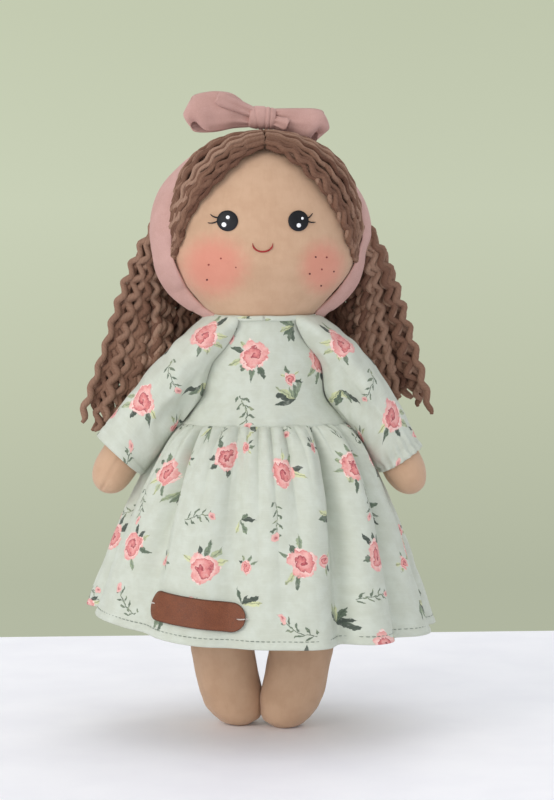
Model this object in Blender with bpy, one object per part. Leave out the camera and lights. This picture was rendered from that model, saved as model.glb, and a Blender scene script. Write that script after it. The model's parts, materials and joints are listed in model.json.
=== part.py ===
"""A stuffed cloth rag doll with yarn curls, a knotted headband and a gathered dress.

All lengths are metres. +X is the doll's left, -Y its front and +Z up. The origin is on the floor,
midway between the soles. Each sewn piece is a cloth skin with its own filling inside.
"""

import math

import bmesh
import bpy
import numpy as np

# Clearances and cloth
GAP = 0.0003
SKIN = 0.0008
FILLING_GAP = 0.0005
DRESS_CLOTH = 0.0007
RIBBON_CLOTH = 0.0011
CUT_OVERRUN = 0.004

# Heights of the doll, stacked from the floor
LEG_REACH = 0.1300
TRUNK_HEIGHT = 0.1235
HEAD_HEIGHT = 0.1150

# Head: an egg that is widest below its middle and narrows to the neck
HEAD_WIDTH = 0.1180
HEAD_DEPTH = 0.0960
HEAD_WIDEST_RISE = 0.0485
NECK_WIDTH = 0.0580
NECK_DEPTH = 0.0520
CROWN_POWER = 2.4
CHIN_POWER = 1.5
HEAD_LOW_SHARES = (1, 0.93, 0.85, 0.75, 0.62, 0.46, 0.25)
HEAD_HIGH_ANGLES = (0, 16, 32, 47, 62, 76, 87)
HEAD_SIDES = 24

# Trunk: flat at the hip seam, full at the waist, narrow at the shoulders
HIP_SEAM_WIDTH = 0.0760
HIP_SEAM_RADIUS = 0.0030
FLAP_THICKNESS = 0.0028
HIP_WIDTH = 0.0930
HIP_RISE = 0.0400
WAIST_WIDTH = 0.0920
WAIST_RISE = 0.0640
TRUNK_DEPTH = 0.0530
SHOULDER_WIDTH = 0.0752
SHOULDER_RISE = 0.0960
SHOULDER_DEPTH = 0.0500
UNDERARM_DROP = 0.0120
UNDERARM_FLARE = 0.0016
TRUNK_WEDGE = math.radians(39)
WEDGE_SHARES = (0.35, 0.7, 1.0)
NECK_SLOPE_SHARES = (0.3, 0.62, 0.82)
TRUNK_SIDES = 18

# Legs: stuffed tubes, flat where they are sewn in, with flattened rounded ends
LEG_WIDTH = 0.0405
LEG_DEPTH = 0.0380
LEG_TOP_WIDTH = 0.0340
LEG_WEDGE = math.radians(26)
LEG_END_LENGTH = 0.0260
LEG_END_POWER_ACROSS = 2.5
LEG_END_POWER_DEEP = 8.0
LEG_END_SHARES = (1.0, 0.76, 0.54, 0.36, 0.2, 0.08, 0)
SOLE_CUT = 0.0005
LEG_HEIGHT_SHARES = (0, 0.128, 0.262, 0.385, 1)
LEG_INSEAM_SHARES = (0.178, 0.013, 0.035, 0.118, 0.054)
STANCE_STEP = 0.0050
STANCE_BACK = 0.0072
LEG_SIDES = 16

# Arms: stuffed tubes that leave the shoulder sideways and hang down
ARM_LENGTH = 0.1000
ARM_WIDTH = 0.0262
ARM_TOP_WIDTH = 0.0205
ARM_END_LENGTH = 0.0190
ARM_FORWARD = 0.0020
ARM_TOP_ANGLE = math.radians(72)
ARM_LEFT_END_ANGLE = math.radians(27)
ARM_RIGHT_END_ANGLE = math.radians(30)
ARM_BEND_POWER = 3.0
ARM_END_POWER = 2.1
ARM_RING_SHARES = (0, 0.06, 0.12, 0.22, 0.36, 0.55, 0.7)
ARM_END_SHARES = (1.0, 0.7, 0.44, 0.22, 0.08, 0.015)
ARM_TURN_SHARE = 0.2
ARM_WIDEN_SHARE = 0.45
ARM_SIDES = 12

# Hair: a yarn layer on the head that hangs down as curls
HAIR_SEAT = 0.0007
HAIR_LAYER = 0.0048
HAIR_BACK_LAYER = 0.0066
HAIR_SPLIT = 0.0042
HAIR_SPLIT_GAP = 0.0008
CURL_LEFT_TIP_HEIGHT = 0.1990
CURL_TIP_HEIGHT = 0.1860
CURL_SPREAD = 0.2280
CURL_THICKNESS = 0.0230
CURL_BACK_THICKNESS = 0.0110
CURL_BACK_REACH = 0.0600
CURL_FRONT_SETBACK = 0.0180
CURL_SPREAD_POWER = 0.55
CURL_FULL_SHARE = 0.62
CURL_SETBACK_SHARE = 0.45
CURL_TIP_UNEVEN = 0.0080
LOCK_DEPTH = 0.0034
LOCK_SWAY = 0.0030
LOCK_WAVE_LENGTH = 0.0480
SIDE_CURL_START = math.radians(42)
CROWN_START = math.radians(82)
CROWN_ROWS = 8
CURL_ROWS = 6
BACK_COLUMNS = 17
SIDE_COLUMNS = 11
PARTING_ROWS = 12
PARTING_COLUMNS = 9
HAIR_LINE_ANGLES = (0, 45, 80, 106)
HAIR_LINE_SHARES = (0.295, 0.48, 0.367, 0.204)
TUCK_ANGLE = 106
PARTING_GAP = 0.0006

# Headband and bow
BAND_WIDTH = 0.0190
BAND_THICKNESS = 0.0018
BAND_SIDES = 48
BAND_ROW_SHARES = (-0.5, 0, 0.5)
BAND_TURN_SHARE = 0.06
BAND_PATH_ANGLES = (0, 45, 90, 122, 143, 152, 180)
BAND_PATH_SHARES = (0, -0.037, -0.104, -0.104, 0.135, 0.354, 0.688)
BAND_SEAT = 0.0008
BAND_SKIN_LIFT = 0.0011
BAND_LEAVES_HAIR_ANGLE = 109
BAND_ON_SKIN_ANGLE = 124
KNOT_WIDTH = 0.0165
KNOT_HEIGHT = 0.0150
KNOT_DEPTH = 0.0150
KNOT_ANGLES = (-90, -64, -34, 0, 34, 64, 90)
KNOT_END_SHARE = 0.62
KNOT_SIDE_POWER = 0.8
KNOT_FULL_POWER = 0.6
KNOT_SIDES = 14
RIBBON_ROW_SHARES = (-1, -0.34, 0.34, 1)
LOOP_RIGHT_LENGTH = 0.0385
LOOP_LEFT_LENGTH = 0.0380
LOOP_HEIGHT = 0.0225
LOOP_PINCH = 0.0100
LOOP_FULLNESS = 0.0075
LOOP_END_SPREAD = 0.0032
LOOP_NEAR_SHARE = 0.35
LOOP_WIDEN_POWER = 0.7
LOOP_LEFT_DROOP = 0.0055
LOOP_RIGHT_RISE = 0.0044
TAIL_WIDTH = 0.0080
TAIL_STANDOFF = 0.0043
TAIL_ROOT_RISE_SHARE = 0.4
TAIL_ROOT_WIDTH_SHARE = 0.62
TAIL_CURVE_SHARE = 0.9
TAIL_RIGHT_LENGTH = 0.0215
TAIL_RIGHT_FORWARD = 0.0070
TAIL_RIGHT_RISE = 0.0085
TAIL_LEFT_LENGTH = 0.0100
TAIL_LEFT_FORWARD = 0.0030
TAIL_LEFT_DROP = 0.0045

# Dress
NECKLINE_RISE = 0.0060
NECK_EASE = 0.0012
WAIST_EASE = 0.0042
BINDING_RADIUS = 0.0010
ARMHOLE_HEIGHT = 0.0400
ARMHOLE_DEPTH = 0.0340
HEM_HEIGHT = 0.0665
HEM_RIGHT_RISE = 0.0135
HEM_RISE_POWER = 2.5
HEM_WIDTH = 0.2110
HEM_DEPTH = 0.1782
SKIRT_FLARE_POWER = 0.62
SKIRT_SIDE_FLARE_POWER = 0.78
SKIRT_SIDE_POWER = 6
SKIRT_FOLD_DEPTH = 0.0040
SKIRT_FOLD_FULL_SHARE = 0.2
SKIRT_LEVEL_SHARES = (0, 0.04, 0.12, 0.25, 0.44, 0.7, 1)
# For each fold, in degrees from the front: its place at the waist, its place at the hem and its width
SKIRT_FOLD_ANGLES = (
    (-98, -100, 13), (-82, -84, 9), (-64, -68, 12), (-49, -47, 8), (-32, -30, 14), (-15, -14, 9), (4, -2, 10),
    (22, 9, 9), (35, 19, 8), (48, 33, 10), (60, 47, 8), (70, 64, 10), (84, 81, 9), (99, 98, 13), (118, 118, 9),
    (137, 138, 12), (157, 158, 9), (177, 178, 12), (197, 199, 9), (218, 218, 12), (239, 240, 9),
)
# For each fold: its depth at the waist and at the hem, outwards where it is above zero
SKIRT_FOLD_DEPTH_SHARES = (
    (0.5, 1), (-0.6, -0.9), (0.5, 0.7), (-1, -0.3), (0.6, 0.5), (-0.4, -0.4), (0.5, 0.3),
    (1, 0.9), (-1.2, -0.9), (0.9, 0.9), (-0.6, -0.8), (0.5, 0.8), (-0.6, -0.9), (0.6, 1), (-0.8, -1),
    (0.8, 1.1), (-0.8, -1.1), (0.6, 0.7), (-0.8, -1), (0.7, 1.1), (-0.8, -0.9),
)
BODICE_UNDERARM_SHARE = 1.6
BODICE_LEVEL_SHARES = (0.05, 0.3, 0.6, 0.85)
BODICE_SIDES = 28
ARMHOLE_SIDES = 24
SKIRT_SIDES = 90
SLEEVE_SEAT_HEIGHT = 0.0510
SLEEVE_SEAT_DROP = 0.0015
SLEEVE_SEAT_DEPTH = 0.0470
SLEEVE_SEAT_LIFT = 0.0010
SLEEVE_FREE_SHARE = 0.42
SLEEVE_END_SHARE = 0.76
SLEEVE_UPPER_WIDTH = 0.0335
SLEEVE_LEFT_CUFF_WIDTH = 0.0300
SLEEVE_RIGHT_CUFF_WIDTH = 0.0355
SLEEVE_SIDES = 20

# Trim
BUTTON_RADIUS = 0.0045
BUTTON_THICKNESS = 0.0018
BUTTON_DISH = 0.0006
BUTTON_FIRST_RISE = 0.0100
BUTTON_PITCH = 0.0160
LABEL_LENGTH = 0.0590
LABEL_HEIGHT = 0.0190
LABEL_THICKNESS = 0.0014
LABEL_SEAT = 0.0006
LABEL_ACROSS = 0.0400
LABEL_RISE = 0.0205
LABEL_REACH_SHARE = 0.93
LABEL_TILT = math.radians(7)
STITCH_RADIUS = 0.0004
STITCH_INSET = 0.0052
STITCH_OVERHANG = 0.0016

# Face
EYE_SPACING = 0.0420
EYE_HEIGHT = 0.0665
EYE_RADIUS = 0.0063
EYE_THICKNESS = 0.0009
EYE_RING_SHARES = (0.02, 0.55, 0.85, 1.0)
EYE_SIDES = 16
EYE_DOME_SHARE = 0.8
MOUTH_WIDTH = 0.0120
MOUTH_DROP = 0.0050
MOUTH_HEIGHT = 0.0530
MOUTH_THREAD = 0.0005
MOUTH_ARC_SHARE = 0.97

# Places that follow from the sizes above
HIP_Z = LEG_REACH
NECK_Z = HIP_Z + TRUNK_HEIGHT
HEAD_BASE_Z = NECK_Z + GAP
WIDEST_Z = HEAD_BASE_Z + HEAD_WIDEST_RISE
CROWN_Z = HEAD_BASE_Z + HEAD_HEIGHT
HEAD_CENTRE = np.array([0.0, 0.0, (HEAD_BASE_Z + CROWN_Z) / 2])
SHOULDER_Z = HIP_Z + SHOULDER_RISE
WAIST_Z = HIP_Z + WAIST_RISE
SEAM_CLEAR = HIP_SEAM_RADIUS + GAP
SHOULDER_X = SHOULDER_WIDTH / 2 + GAP

COLOURS = {
    "skin_cotton": ((0.72, 0.49, 0.33), 0.85),
    "filling": ((0.90, 0.89, 0.86), 0.95),
    "yarn": ((0.25, 0.15, 0.11), 0.95),
    "ribbon": ((0.70, 0.38, 0.36), 0.85),
    "dress_print": ((0.60, 0.66, 0.57), 0.85),
    "leather": ((0.28, 0.09, 0.05), 0.55),
    "eye_paint": ((0.010, 0.010, 0.016), 0.25),
    "mouth_thread": ((0.50, 0.05, 0.05), 0.70),
    "white_thread": ((0.85, 0.80, 0.74), 0.80),
    "button": ((0.84, 0.82, 0.74), 0.35),
}


def clear_scene():
    for obj in list(bpy.data.objects):
        bpy.data.objects.remove(obj)


def material(name):
    """A matt or glossy Principled material of one of the doll's finishes."""
    made = bpy.data.materials.get(name)
    if made is None:
        made = bpy.data.materials.new(name)
        made.use_nodes = True
        colour, roughness = COLOURS[name]
        shader = made.node_tree.nodes["Principled BSDF"]
        shader.inputs["Base Color"].default_value = (*colour, 1.0)
        shader.inputs["Roughness"].default_value = roughness
        shader.inputs["Metallic"].default_value = 0.0
    return made


def anchor(name, place):
    """An empty that pieces hang on. Those of moving pieces stand on their joint's axis."""
    empty = bpy.data.objects.new(name, None)
    empty.location = place
    bpy.context.scene.collection.objects.link(empty)
    return empty


def add_object(name, data, finish, holder):
    """Links a piece whose data is in the doll's frame, hung on its anchor."""
    obj = bpy.data.objects.new(name, data)
    bpy.context.scene.collection.objects.link(obj)
    data.materials.append(material(finish))
    obj.parent = holder
    obj.location = -holder.location
    return obj


def solid_mesh(name, points, faces):
    """A mesh with its faces pointing out and its round parts shaded smooth."""
    bm = bmesh.new()
    corners = [bm.verts.new(p) for p in points]
    for face in faces:
        bm.faces.new([corners[i] for i in face])
    bmesh.ops.recalc_face_normals(bm, faces=bm.faces)
    mesh = bpy.data.meshes.new(name)
    bm.to_mesh(mesh)
    bm.free()
    mesh.shade_smooth()
    mesh.set_sharp_from_angle(angle=math.radians(40))
    return mesh


def tube_faces(rings, sides):
    """Quads between neighbouring closed rings that lie one after the other."""
    faces = []
    for i in range(rings - 1):
        for j in range(sides):
            k = (j + 1) % sides
            faces.append((i * sides + j, i * sides + k, (i + 1) * sides + k, (i + 1) * sides + j))
    return faces


def stuffed_parts(name, rings, filling_start, finish, holder):
    """A cloth skin along the rings, open at the first one, and the filling that it holds.

    The last ring is closed with a flat face. The filling keeps off the skin's inner side by the
    clearance and starts at a later ring where the cloth is left flat.
    """
    sides = len(rings[0])
    points = np.concatenate(rings)
    faces = tube_faces(len(rings), sides)
    faces.append(tuple(range(len(points) - sides, len(points))))
    skin = add_object(name + "_skin", solid_mesh(name + "_skin", points, faces), finish, holder)
    wall = skin.modifiers.new("cloth", "SOLIDIFY")
    wall.thickness = SKIN
    wall.offset = -1
    bm = bmesh.new()
    bm.from_mesh(skin.data)
    bm.normal_update()
    moves = [vert.normal * (SKIN + FILLING_GAP) for vert in bm.verts]
    for vert, move in zip(bm.verts, moves):
        vert.co -= move
    bm.verts.ensure_lookup_table()
    bmesh.ops.delete(bm, geom=bm.verts[: filling_start * sides], context="VERTS")
    bmesh.ops.holes_fill(bm, edges=bm.edges)
    bmesh.ops.recalc_face_normals(bm, faces=bm.faces)
    mesh = bpy.data.meshes.new(name + "_filling")
    bm.to_mesh(mesh)
    bm.free()
    add_object(name + "_filling", mesh, "filling", holder)


def wall_between(name, inner, outer, round_it, finish, holder):
    """One closed solid between two grids of points, with a rim along every free edge.

    Both grids hold rows of columns. With round_it, the last column joins the first.
    """
    rows, columns = inner.shape[:2]
    size = rows * columns
    points = np.concatenate([inner.reshape(-1, 3), outer.reshape(-1, 3)])
    faces = []
    for i in range(rows - 1):
        for j in range(columns if round_it else columns - 1):
            k = (j + 1) % columns
            quad = (i * columns + j, i * columns + k, (i + 1) * columns + k, (i + 1) * columns + j)
            faces.append(quad)
            faces.append(tuple(size + c for c in reversed(quad)))
    for row in (0, rows - 1):
        for j in range(columns if round_it else columns - 1):
            a, b = row * columns + j, row * columns + (j + 1) % columns
            faces.append((a, b, size + b, size + a))
    if not round_it:
        for column in (0, columns - 1):
            for i in range(rows - 1):
                a, b = i * columns + column, (i + 1) * columns + column
                faces.append((a, b, size + b, size + a))
    return add_object(name, solid_mesh(name, points, faces), finish, holder)


def thread(name, path, radius, closed, finish, holder, resolution=1):
    """A round thread or rolled edge along a path."""
    curve = bpy.data.curves.new(name, "CURVE")
    curve.dimensions = "3D"
    curve.bevel_depth = radius
    curve.bevel_resolution = resolution
    curve.use_fill_caps = True
    spline = curve.splines.new("POLY")
    spline.points.add(len(path) - 1)
    for point, place in zip(spline.points, path):
        point.co = (*place, 1.0)
    spline.use_cyclic_u = closed
    return add_object(name, curve, finish, holder)


def ellipse(half_x, half_y, sides):
    """Unit angles turned into an ellipse in the XY plane."""
    angle = np.arange(sides) * 2 * math.pi / sides
    return np.stack([half_x * np.cos(angle), half_y * np.sin(angle), 0 * angle], axis=1)


def smooth_step(t):
    t = np.clip(t, 0, 1)
    return t * t * (3 - 2 * t)


def follow(angles, values, value):
    """Reads a smooth curve through values given at angles in degrees."""
    angles, values = np.array(angles, float), np.array(values, float)
    slopes = np.gradient(values, angles)
    place = np.clip(np.searchsorted(angles, value, side="right") - 1, 0, len(angles) - 2)
    run = angles[place + 1] - angles[place]
    t = (value - angles[place]) / run
    eased = values[place] + (values[place + 1] - values[place]) * smooth_step(t)
    return eased + run * t * (1 - t) * (slopes[place] * (1 - t) - slopes[place + 1] * t)


# Head shape


def head_fullness(z):
    """Share of the head's full width at a height: 1 at its widest, 0 at crown and neck."""
    up = np.clip((z - WIDEST_Z) / (CROWN_Z - WIDEST_Z), 0, 1)
    down = np.clip((WIDEST_Z - z) / HEAD_WIDEST_RISE, 0, 1)
    crown = (1 - up**CROWN_POWER) ** (1 / CROWN_POWER)
    chin = np.cos(down * math.pi / 2) ** CHIN_POWER
    return np.where(z >= WIDEST_Z, crown, chin)


def head_half(z):
    """(half width, half depth) of the head at a height."""
    full = head_fullness(z)
    low_x = np.where(z >= WIDEST_Z, 0, NECK_WIDTH / 2)
    low_y = np.where(z >= WIDEST_Z, 0, NECK_DEPTH / 2)
    return low_x + (HEAD_WIDTH / 2 - low_x) * full, low_y + (HEAD_DEPTH / 2 - low_y) * full


def head_field(points):
    """Below zero inside the head, above zero outside."""
    x, y, z = points[..., 0], points[..., 1], points[..., 2]
    up = np.clip((z - WIDEST_Z) / (CROWN_Z - WIDEST_Z), 0, None)
    reach = np.hypot(x / (HEAD_WIDTH / 2), y / (HEAD_DEPTH / 2))
    above = reach**CROWN_POWER + up**CROWN_POWER - 1
    half_x, half_y = head_half(np.minimum(z, WIDEST_Z))
    below = (x / half_x) ** 2 + (y / half_y) ** 2 - 1
    return np.where(z >= WIDEST_Z, above, below)


def on_head(directions, lift):
    """Points where rays from the head's centre leave its skin, lifted off it by a clearance."""
    unit = directions / np.linalg.norm(directions, axis=-1, keepdims=True)
    near = np.zeros(unit.shape[:-1])
    far = np.full(unit.shape[:-1], HEAD_HEIGHT + HEAD_WIDTH)
    for _ in range(40):
        middle = (near + far) / 2
        points = HEAD_CENTRE + unit * middle[..., None]
        outside = (head_field(points) > 0) | (points[..., 2] < HEAD_BASE_Z)
        near, far = np.where(outside, near, middle), np.where(outside, middle, far)
    points = HEAD_CENTRE + unit * near[..., None]
    slope = np.stack(
        [
            head_field(points + GAP * axis) - head_field(points - GAP * axis)
            for axis in np.eye(3)
        ],
        axis=-1,
    )
    normal = slope / np.linalg.norm(slope, axis=-1, keepdims=True)
    return points + normal * np.asarray(lift)[..., None]


def on_face(x, z, lift):
    """Points on the front of the head, seen from straight ahead."""
    half_x, half_y = head_half(z)
    y = -half_y * np.sqrt(np.clip(1 - (x / half_x) ** 2, 0, 1))
    return on_head(np.stack([x, y, z - HEAD_CENTRE[2]], axis=-1), lift)


def head_rings():
    """Rings of the head from the neck opening up to a small flat crown."""
    low = WIDEST_Z - HEAD_WIDEST_RISE * np.array(HEAD_LOW_SHARES)
    rise = np.sin(np.radians(HEAD_HIGH_ANGLES)) ** (2 / CROWN_POWER)
    high = WIDEST_Z + (CROWN_Z - WIDEST_Z) * rise
    rings = []
    for z in np.concatenate([low, high]):
        half_x, half_y = head_half(z)
        rings.append(ellipse(half_x, half_y, HEAD_SIDES) + [0, 0, z])
    return rings


# Trunk shape


def trunk_table():
    """Rows of (height, half width, half depth) from the hip seam to the neck."""
    flat = FLAP_THICKNESS / 2
    depth = TRUNK_DEPTH / 2
    full = depth / math.tan(TRUNK_WEDGE)
    wedge = [(share * full, share * depth) for share in WEDGE_SHARES]
    seam, hip, waist = HIP_SEAM_WIDTH / 2, HIP_WIDTH / 2, WAIST_WIDTH / 2
    shoulder = SHOULDER_WIDTH / 2
    neck = NECK_WIDTH / 2
    below_arm = SHOULDER_RISE - UNDERARM_DROP
    above_arm, slope, top = (
        SHOULDER_RISE + (TRUNK_HEIGHT - SHOULDER_RISE) * share for share in NECK_SLOPE_SHARES
    )
    rows = [(SEAM_CLEAR, seam, flat)]
    for height, half in wedge:
        rows.append((height, seam + (hip - seam) * math.sin(math.pi / 2 * height / full), half))
    rows += [
        (max(HIP_RISE, full + GAP), hip, depth),
        (WAIST_RISE, waist, depth),
        (below_arm - UNDERARM_DROP / 2, shoulder + UNDERARM_FLARE, (depth + SHOULDER_DEPTH / 2) / 2),
        (below_arm, shoulder, SHOULDER_DEPTH / 2),
        (above_arm, shoulder, SHOULDER_DEPTH / 2),
        (slope, (shoulder + neck) / 2, (SHOULDER_DEPTH + NECK_DEPTH) / 4),
        (top, neck, NECK_DEPTH / 2),
        (TRUNK_HEIGHT, neck - GAP, NECK_DEPTH / 2 - GAP),
    ]
    return np.array(rows)


def trunk_half(z):
    """(half width, half depth) of the trunk at a height, measured between its rows."""
    table = trunk_table()
    rise = z - HIP_Z
    return np.interp(rise, table[:, 0], table[:, 1]), np.interp(rise, table[:, 0], table[:, 2])


def trunk_rings():
    return [
        ellipse(half_x, half_y, TRUNK_SIDES) + [0, 0, HIP_Z + rise]
        for rise, half_x, half_y in trunk_table()
    ]


# Limbs


def rounded_end(distance, length, power):
    """Share of the full radius near a rounded tip: 0 at the tip, 1 from its length on."""
    t = np.clip(1 - distance / length, 0, 1)
    return (1 - t**power) ** (1 / power)


def leg_rings(side):
    """Rings of one leg from the hip seam down to the sole. side is +1 for the doll's left."""
    full = LEG_DEPTH / 2 / math.tan(LEG_WEDGE)
    drops = [SEAM_CLEAR] + [full * share for share in WEDGE_SHARES] + [full + LEG_END_LENGTH / 2]
    levels = [LEG_REACH - drop for drop in drops]
    levels += [LEG_END_LENGTH * share for share in LEG_END_SHARES]
    rings = []
    for z in levels:
        drop = LEG_REACH - z
        across = float(rounded_end(z + SOLE_CUT, LEG_END_LENGTH, LEG_END_POWER_ACROSS))
        deep = float(rounded_end(z + SOLE_CUT, LEG_END_LENGTH, LEG_END_POWER_DEEP))
        widen = float(smooth_step(drop / full))
        half_x = (LEG_TOP_WIDTH + (LEG_WIDTH - LEG_TOP_WIDTH) * widen) / 2 * across
        half_y = min(max(FLAP_THICKNESS / 2, drop * math.tan(LEG_WEDGE)), LEG_DEPTH / 2) * deep
        inseam = LEG_WIDTH * float(np.interp(z / LEG_REACH, LEG_HEIGHT_SHARES, LEG_INSEAM_SHARES))
        shift = (STANCE_BACK - side * STANCE_STEP) * float(smooth_step(drop / LEG_REACH))
        rings.append(ellipse(half_x, half_y, LEG_SIDES) + [side * (half_x + inseam), shift, z])
    return rings


def arm_frames(side, end_angle, shares):
    """(centre, angle from straight down) along an arm that leaves the shoulder sideways."""
    steps = np.linspace(0, 1, 161)
    angle = end_angle + (ARM_TOP_ANGLE - end_angle) * (1 - steps) ** ARM_BEND_POWER
    run = ARM_LENGTH / (len(steps) - 1)
    x = SHOULDER_X + np.concatenate([[0], np.cumsum(np.sin(angle[1:]) * run)])
    z = SHOULDER_Z - np.concatenate([[0], np.cumsum(np.cos(angle[1:]) * run)])
    frames = []
    for share in shares:
        centre = np.array([side * np.interp(share, steps, x), -ARM_FORWARD, np.interp(share, steps, z)])
        frames.append((centre, float(np.interp(share, steps, angle))))
    return frames


def arm_ring(side, centre, angle, half, sides):
    """A round ring across the arm."""
    flat = ellipse(half, half, sides)
    across = np.array([side * math.cos(angle), 0, math.sin(angle)])
    return centre + flat[:, :1] * across + flat[:, 1:2] * np.array([0, 1, 0])


def arm_turn(share, angle):
    """The rings lie flat against the trunk at the top and turn square to the arm further down."""
    return angle + (math.pi / 2 - angle) * (1 - float(smooth_step(share / ARM_TURN_SHARE)))


def arm_rings(side, end_angle):
    end = ARM_END_LENGTH / ARM_LENGTH
    shares = list(ARM_RING_SHARES) + [1 - end * share for share in ARM_END_SHARES]
    rings = []
    for share, (centre, angle) in zip(shares, arm_frames(side, end_angle, shares)):
        round_off = float(rounded_end((1 - share) * ARM_LENGTH, ARM_END_LENGTH, ARM_END_POWER))
        widen = float(smooth_step(share / ARM_WIDEN_SHARE))
        half = (ARM_TOP_WIDTH + (ARM_WIDTH - ARM_TOP_WIDTH) * widen) / 2 * round_off
        rings.append(arm_ring(side, centre, arm_turn(share, angle), half, ARM_SIDES))
    return rings


# Hair


def head_side_direction(angle, side, forward):
    """Directions from the head's centre: angle in degrees from straight up, towards one side."""
    turn = np.radians(angle)
    x = side * np.sin(turn) * HEAD_WIDTH / 2
    return np.stack([x, forward, np.cos(turn) * HEAD_HEIGHT / 2], axis=-1)


def band_forward(angle, side):
    """How far behind the head's centre the headband runs, minus being in front."""
    x = side * np.sin(np.radians(angle)) * HEAD_WIDTH / 2
    return follow(BAND_PATH_ANGLES, BAND_PATH_SHARES, angle) * HEAD_DEPTH + x * BAND_TURN_SHARE


def lock_profile(columns):
    """Ridges across the locks: 0 in the grooves and 1 on the crests, column by column."""
    return (np.arange(columns) % 2).astype(float)


def hair_parting(name, side, holder):
    """Yarn drawn from the parting down the side of the head and tucked under the headband."""
    start = math.degrees(math.asin(PARTING_GAP / HEAD_WIDTH * 2))
    turns = np.linspace(start, TUCK_ANGLE, PARTING_ROWS)
    front = -follow(HAIR_LINE_ANGLES, HAIR_LINE_SHARES, turns) * HEAD_DEPTH
    back = HAIR_SPLIT - HAIR_SPLIT_GAP
    forward = front[:, None] + (back - front)[:, None] * np.linspace(0, 1, PARTING_COLUMNS)
    direction = head_side_direction(turns[:, None] + 0 * forward, side, forward)
    groove = LOCK_DEPTH / 2 * (1 - lock_profile(PARTING_COLUMNS))
    thick = HAIR_LAYER - groove + 0 * forward
    inner = on_head(direction, HAIR_SEAT + 0 * forward)
    outer = on_head(direction, HAIR_SEAT + thick)
    for grid in (inner, outer):
        grid[..., 0] = side * np.maximum(side * grid[..., 0], PARTING_GAP / 2)
        grid[..., 1] = np.minimum(grid[..., 1], HAIR_SPLIT - HAIR_SPLIT_GAP)
    wall_between(name, inner, outer, False, "yarn", holder)


def back_thickness(y):
    """The yarn is thin under the headband and full behind it."""
    behind = smooth_step((y - HAIR_SPLIT - BAND_WIDTH / 2) / (BAND_WIDTH / 2))
    return HAIR_LAYER + (HAIR_BACK_LAYER - HAIR_LAYER) * behind


def curtain_point(turn, z, drop, depth_share):
    """A point of the hanging hair at an angle from straight back, a height and a share of the drop.

    depth_share runs from 0 on the inner side of the hair to 1 on its outer side.
    """
    side_share = np.abs(np.sin(turn)) ** 2
    head_x = HEAD_WIDTH / 2 + HAIR_SEAT
    head_y = HEAD_DEPTH / 2 + HAIR_SEAT - HAIR_SPLIT
    top = back_thickness(HAIR_SPLIT + head_y * np.cos(turn))
    low = CURL_BACK_THICKNESS + (CURL_THICKNESS - CURL_BACK_THICKNESS) * side_share
    thick = top + (low - top) * smooth_step(drop / CURL_FULL_SHARE)
    spread = drop**CURL_SPREAD_POWER
    outer_x = head_x + top + (CURL_SPREAD / 2 - head_x - top) * spread
    setback = CURL_FRONT_SETBACK * smooth_step(drop / CURL_SETBACK_SHARE)
    outer_y = head_y + top + (CURL_BACK_REACH - head_y - top) * drop - setback
    inset = thick * (1 - depth_share)
    x = (outer_x - inset) * np.sin(turn)
    y = HAIR_SPLIT + setback + (outer_y - inset) * np.cos(turn)
    return np.stack([x, y, z + 0 * turn], axis=-1)


def crown_reach(turn, rise):
    """How far the head's skin is from the hair's split line at an angle and a rise, and its height."""
    z = WIDEST_Z + (CROWN_Z - WIDEST_Z) * np.sin(rise) ** (2 / CROWN_POWER)
    half_x, half_y = head_half(z)
    a = (np.sin(turn) / half_x) ** 2 + (np.cos(turn) / half_y) ** 2
    b = 2 * HAIR_SPLIT * np.cos(turn) / half_y**2
    c = (HAIR_SPLIT / half_y) ** 2 - 1
    return (np.sqrt(b * b - 4 * a * c) - b) / (2 * a), z


def crown_point(turn, rise, lift):
    """A point over the back of the head: rise is the angle above its widest level."""
    reach, z = crown_reach(turn, rise)
    x = reach * np.sin(turn)
    y = HAIR_SPLIT + reach * np.cos(turn)
    point = on_head(np.stack([x, y, z - HEAD_CENTRE[2] + 0 * turn], axis=-1), lift)
    point[..., 1] = np.maximum(point[..., 1], HAIR_SPLIT)
    return point


def hair_curtain(name, start, end, columns, tip_height, holder):
    """Yarn from the crown down one sector of the head, hanging free in locks down to its tips.

    start and end are angles from straight back. The edges beside the back sector keep clear of it.
    """
    ridge = lock_profile(columns)
    inner, outer = [], []

    def row_turn(reach):
        first, last = start, end
        if start == SIDE_CURL_START:
            first = start + PARTING_GAP / reach
        if end == -SIDE_CURL_START:
            last = end - PARTING_GAP / reach
        return np.linspace(first, last, columns)

    for rise in np.linspace(CROWN_START, 0, CROWN_ROWS):
        turn = row_turn(float(crown_reach(SIDE_CURL_START, rise)[0]))
        thick = back_thickness(HAIR_SPLIT + crown_reach(turn, rise)[0] * np.cos(turn))
        groove = LOCK_DEPTH / 2 * (1 - ridge) * math.cos(rise)
        inner.append(crown_point(turn, rise + 0 * turn, HAIR_SEAT + 0 * turn))
        outer.append(crown_point(turn, rise + 0 * turn, HAIR_SEAT + thick - groove))
    turn = row_turn(HEAD_WIDTH / 2)
    inside = np.minimum(turn - start, end - turn) > (turn[1] - turn[0]) / 2
    for drop in np.linspace(0, 1, CURL_ROWS + 1)[1:]:
        tip = tip_height + CURL_TIP_UNEVEN * (1 - ridge)
        z = WIDEST_Z + (tip - WIDEST_Z) * drop
        phase = 2 * math.pi * (WIDEST_Z - z) / LOCK_WAVE_LENGTH
        swayed = turn + inside * LOCK_SWAY / (CURL_SPREAD / 2) * np.sin(phase)
        groove = LOCK_DEPTH * (1 - ridge) / CURL_THICKNESS
        inner.append(curtain_point(swayed, z, drop, 0 * turn))
        outer.append(curtain_point(swayed, z, drop, 1 - groove))
    wall_between(name, np.array(inner), np.array(outer), False, "yarn", holder)


# Headband and bow


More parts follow.
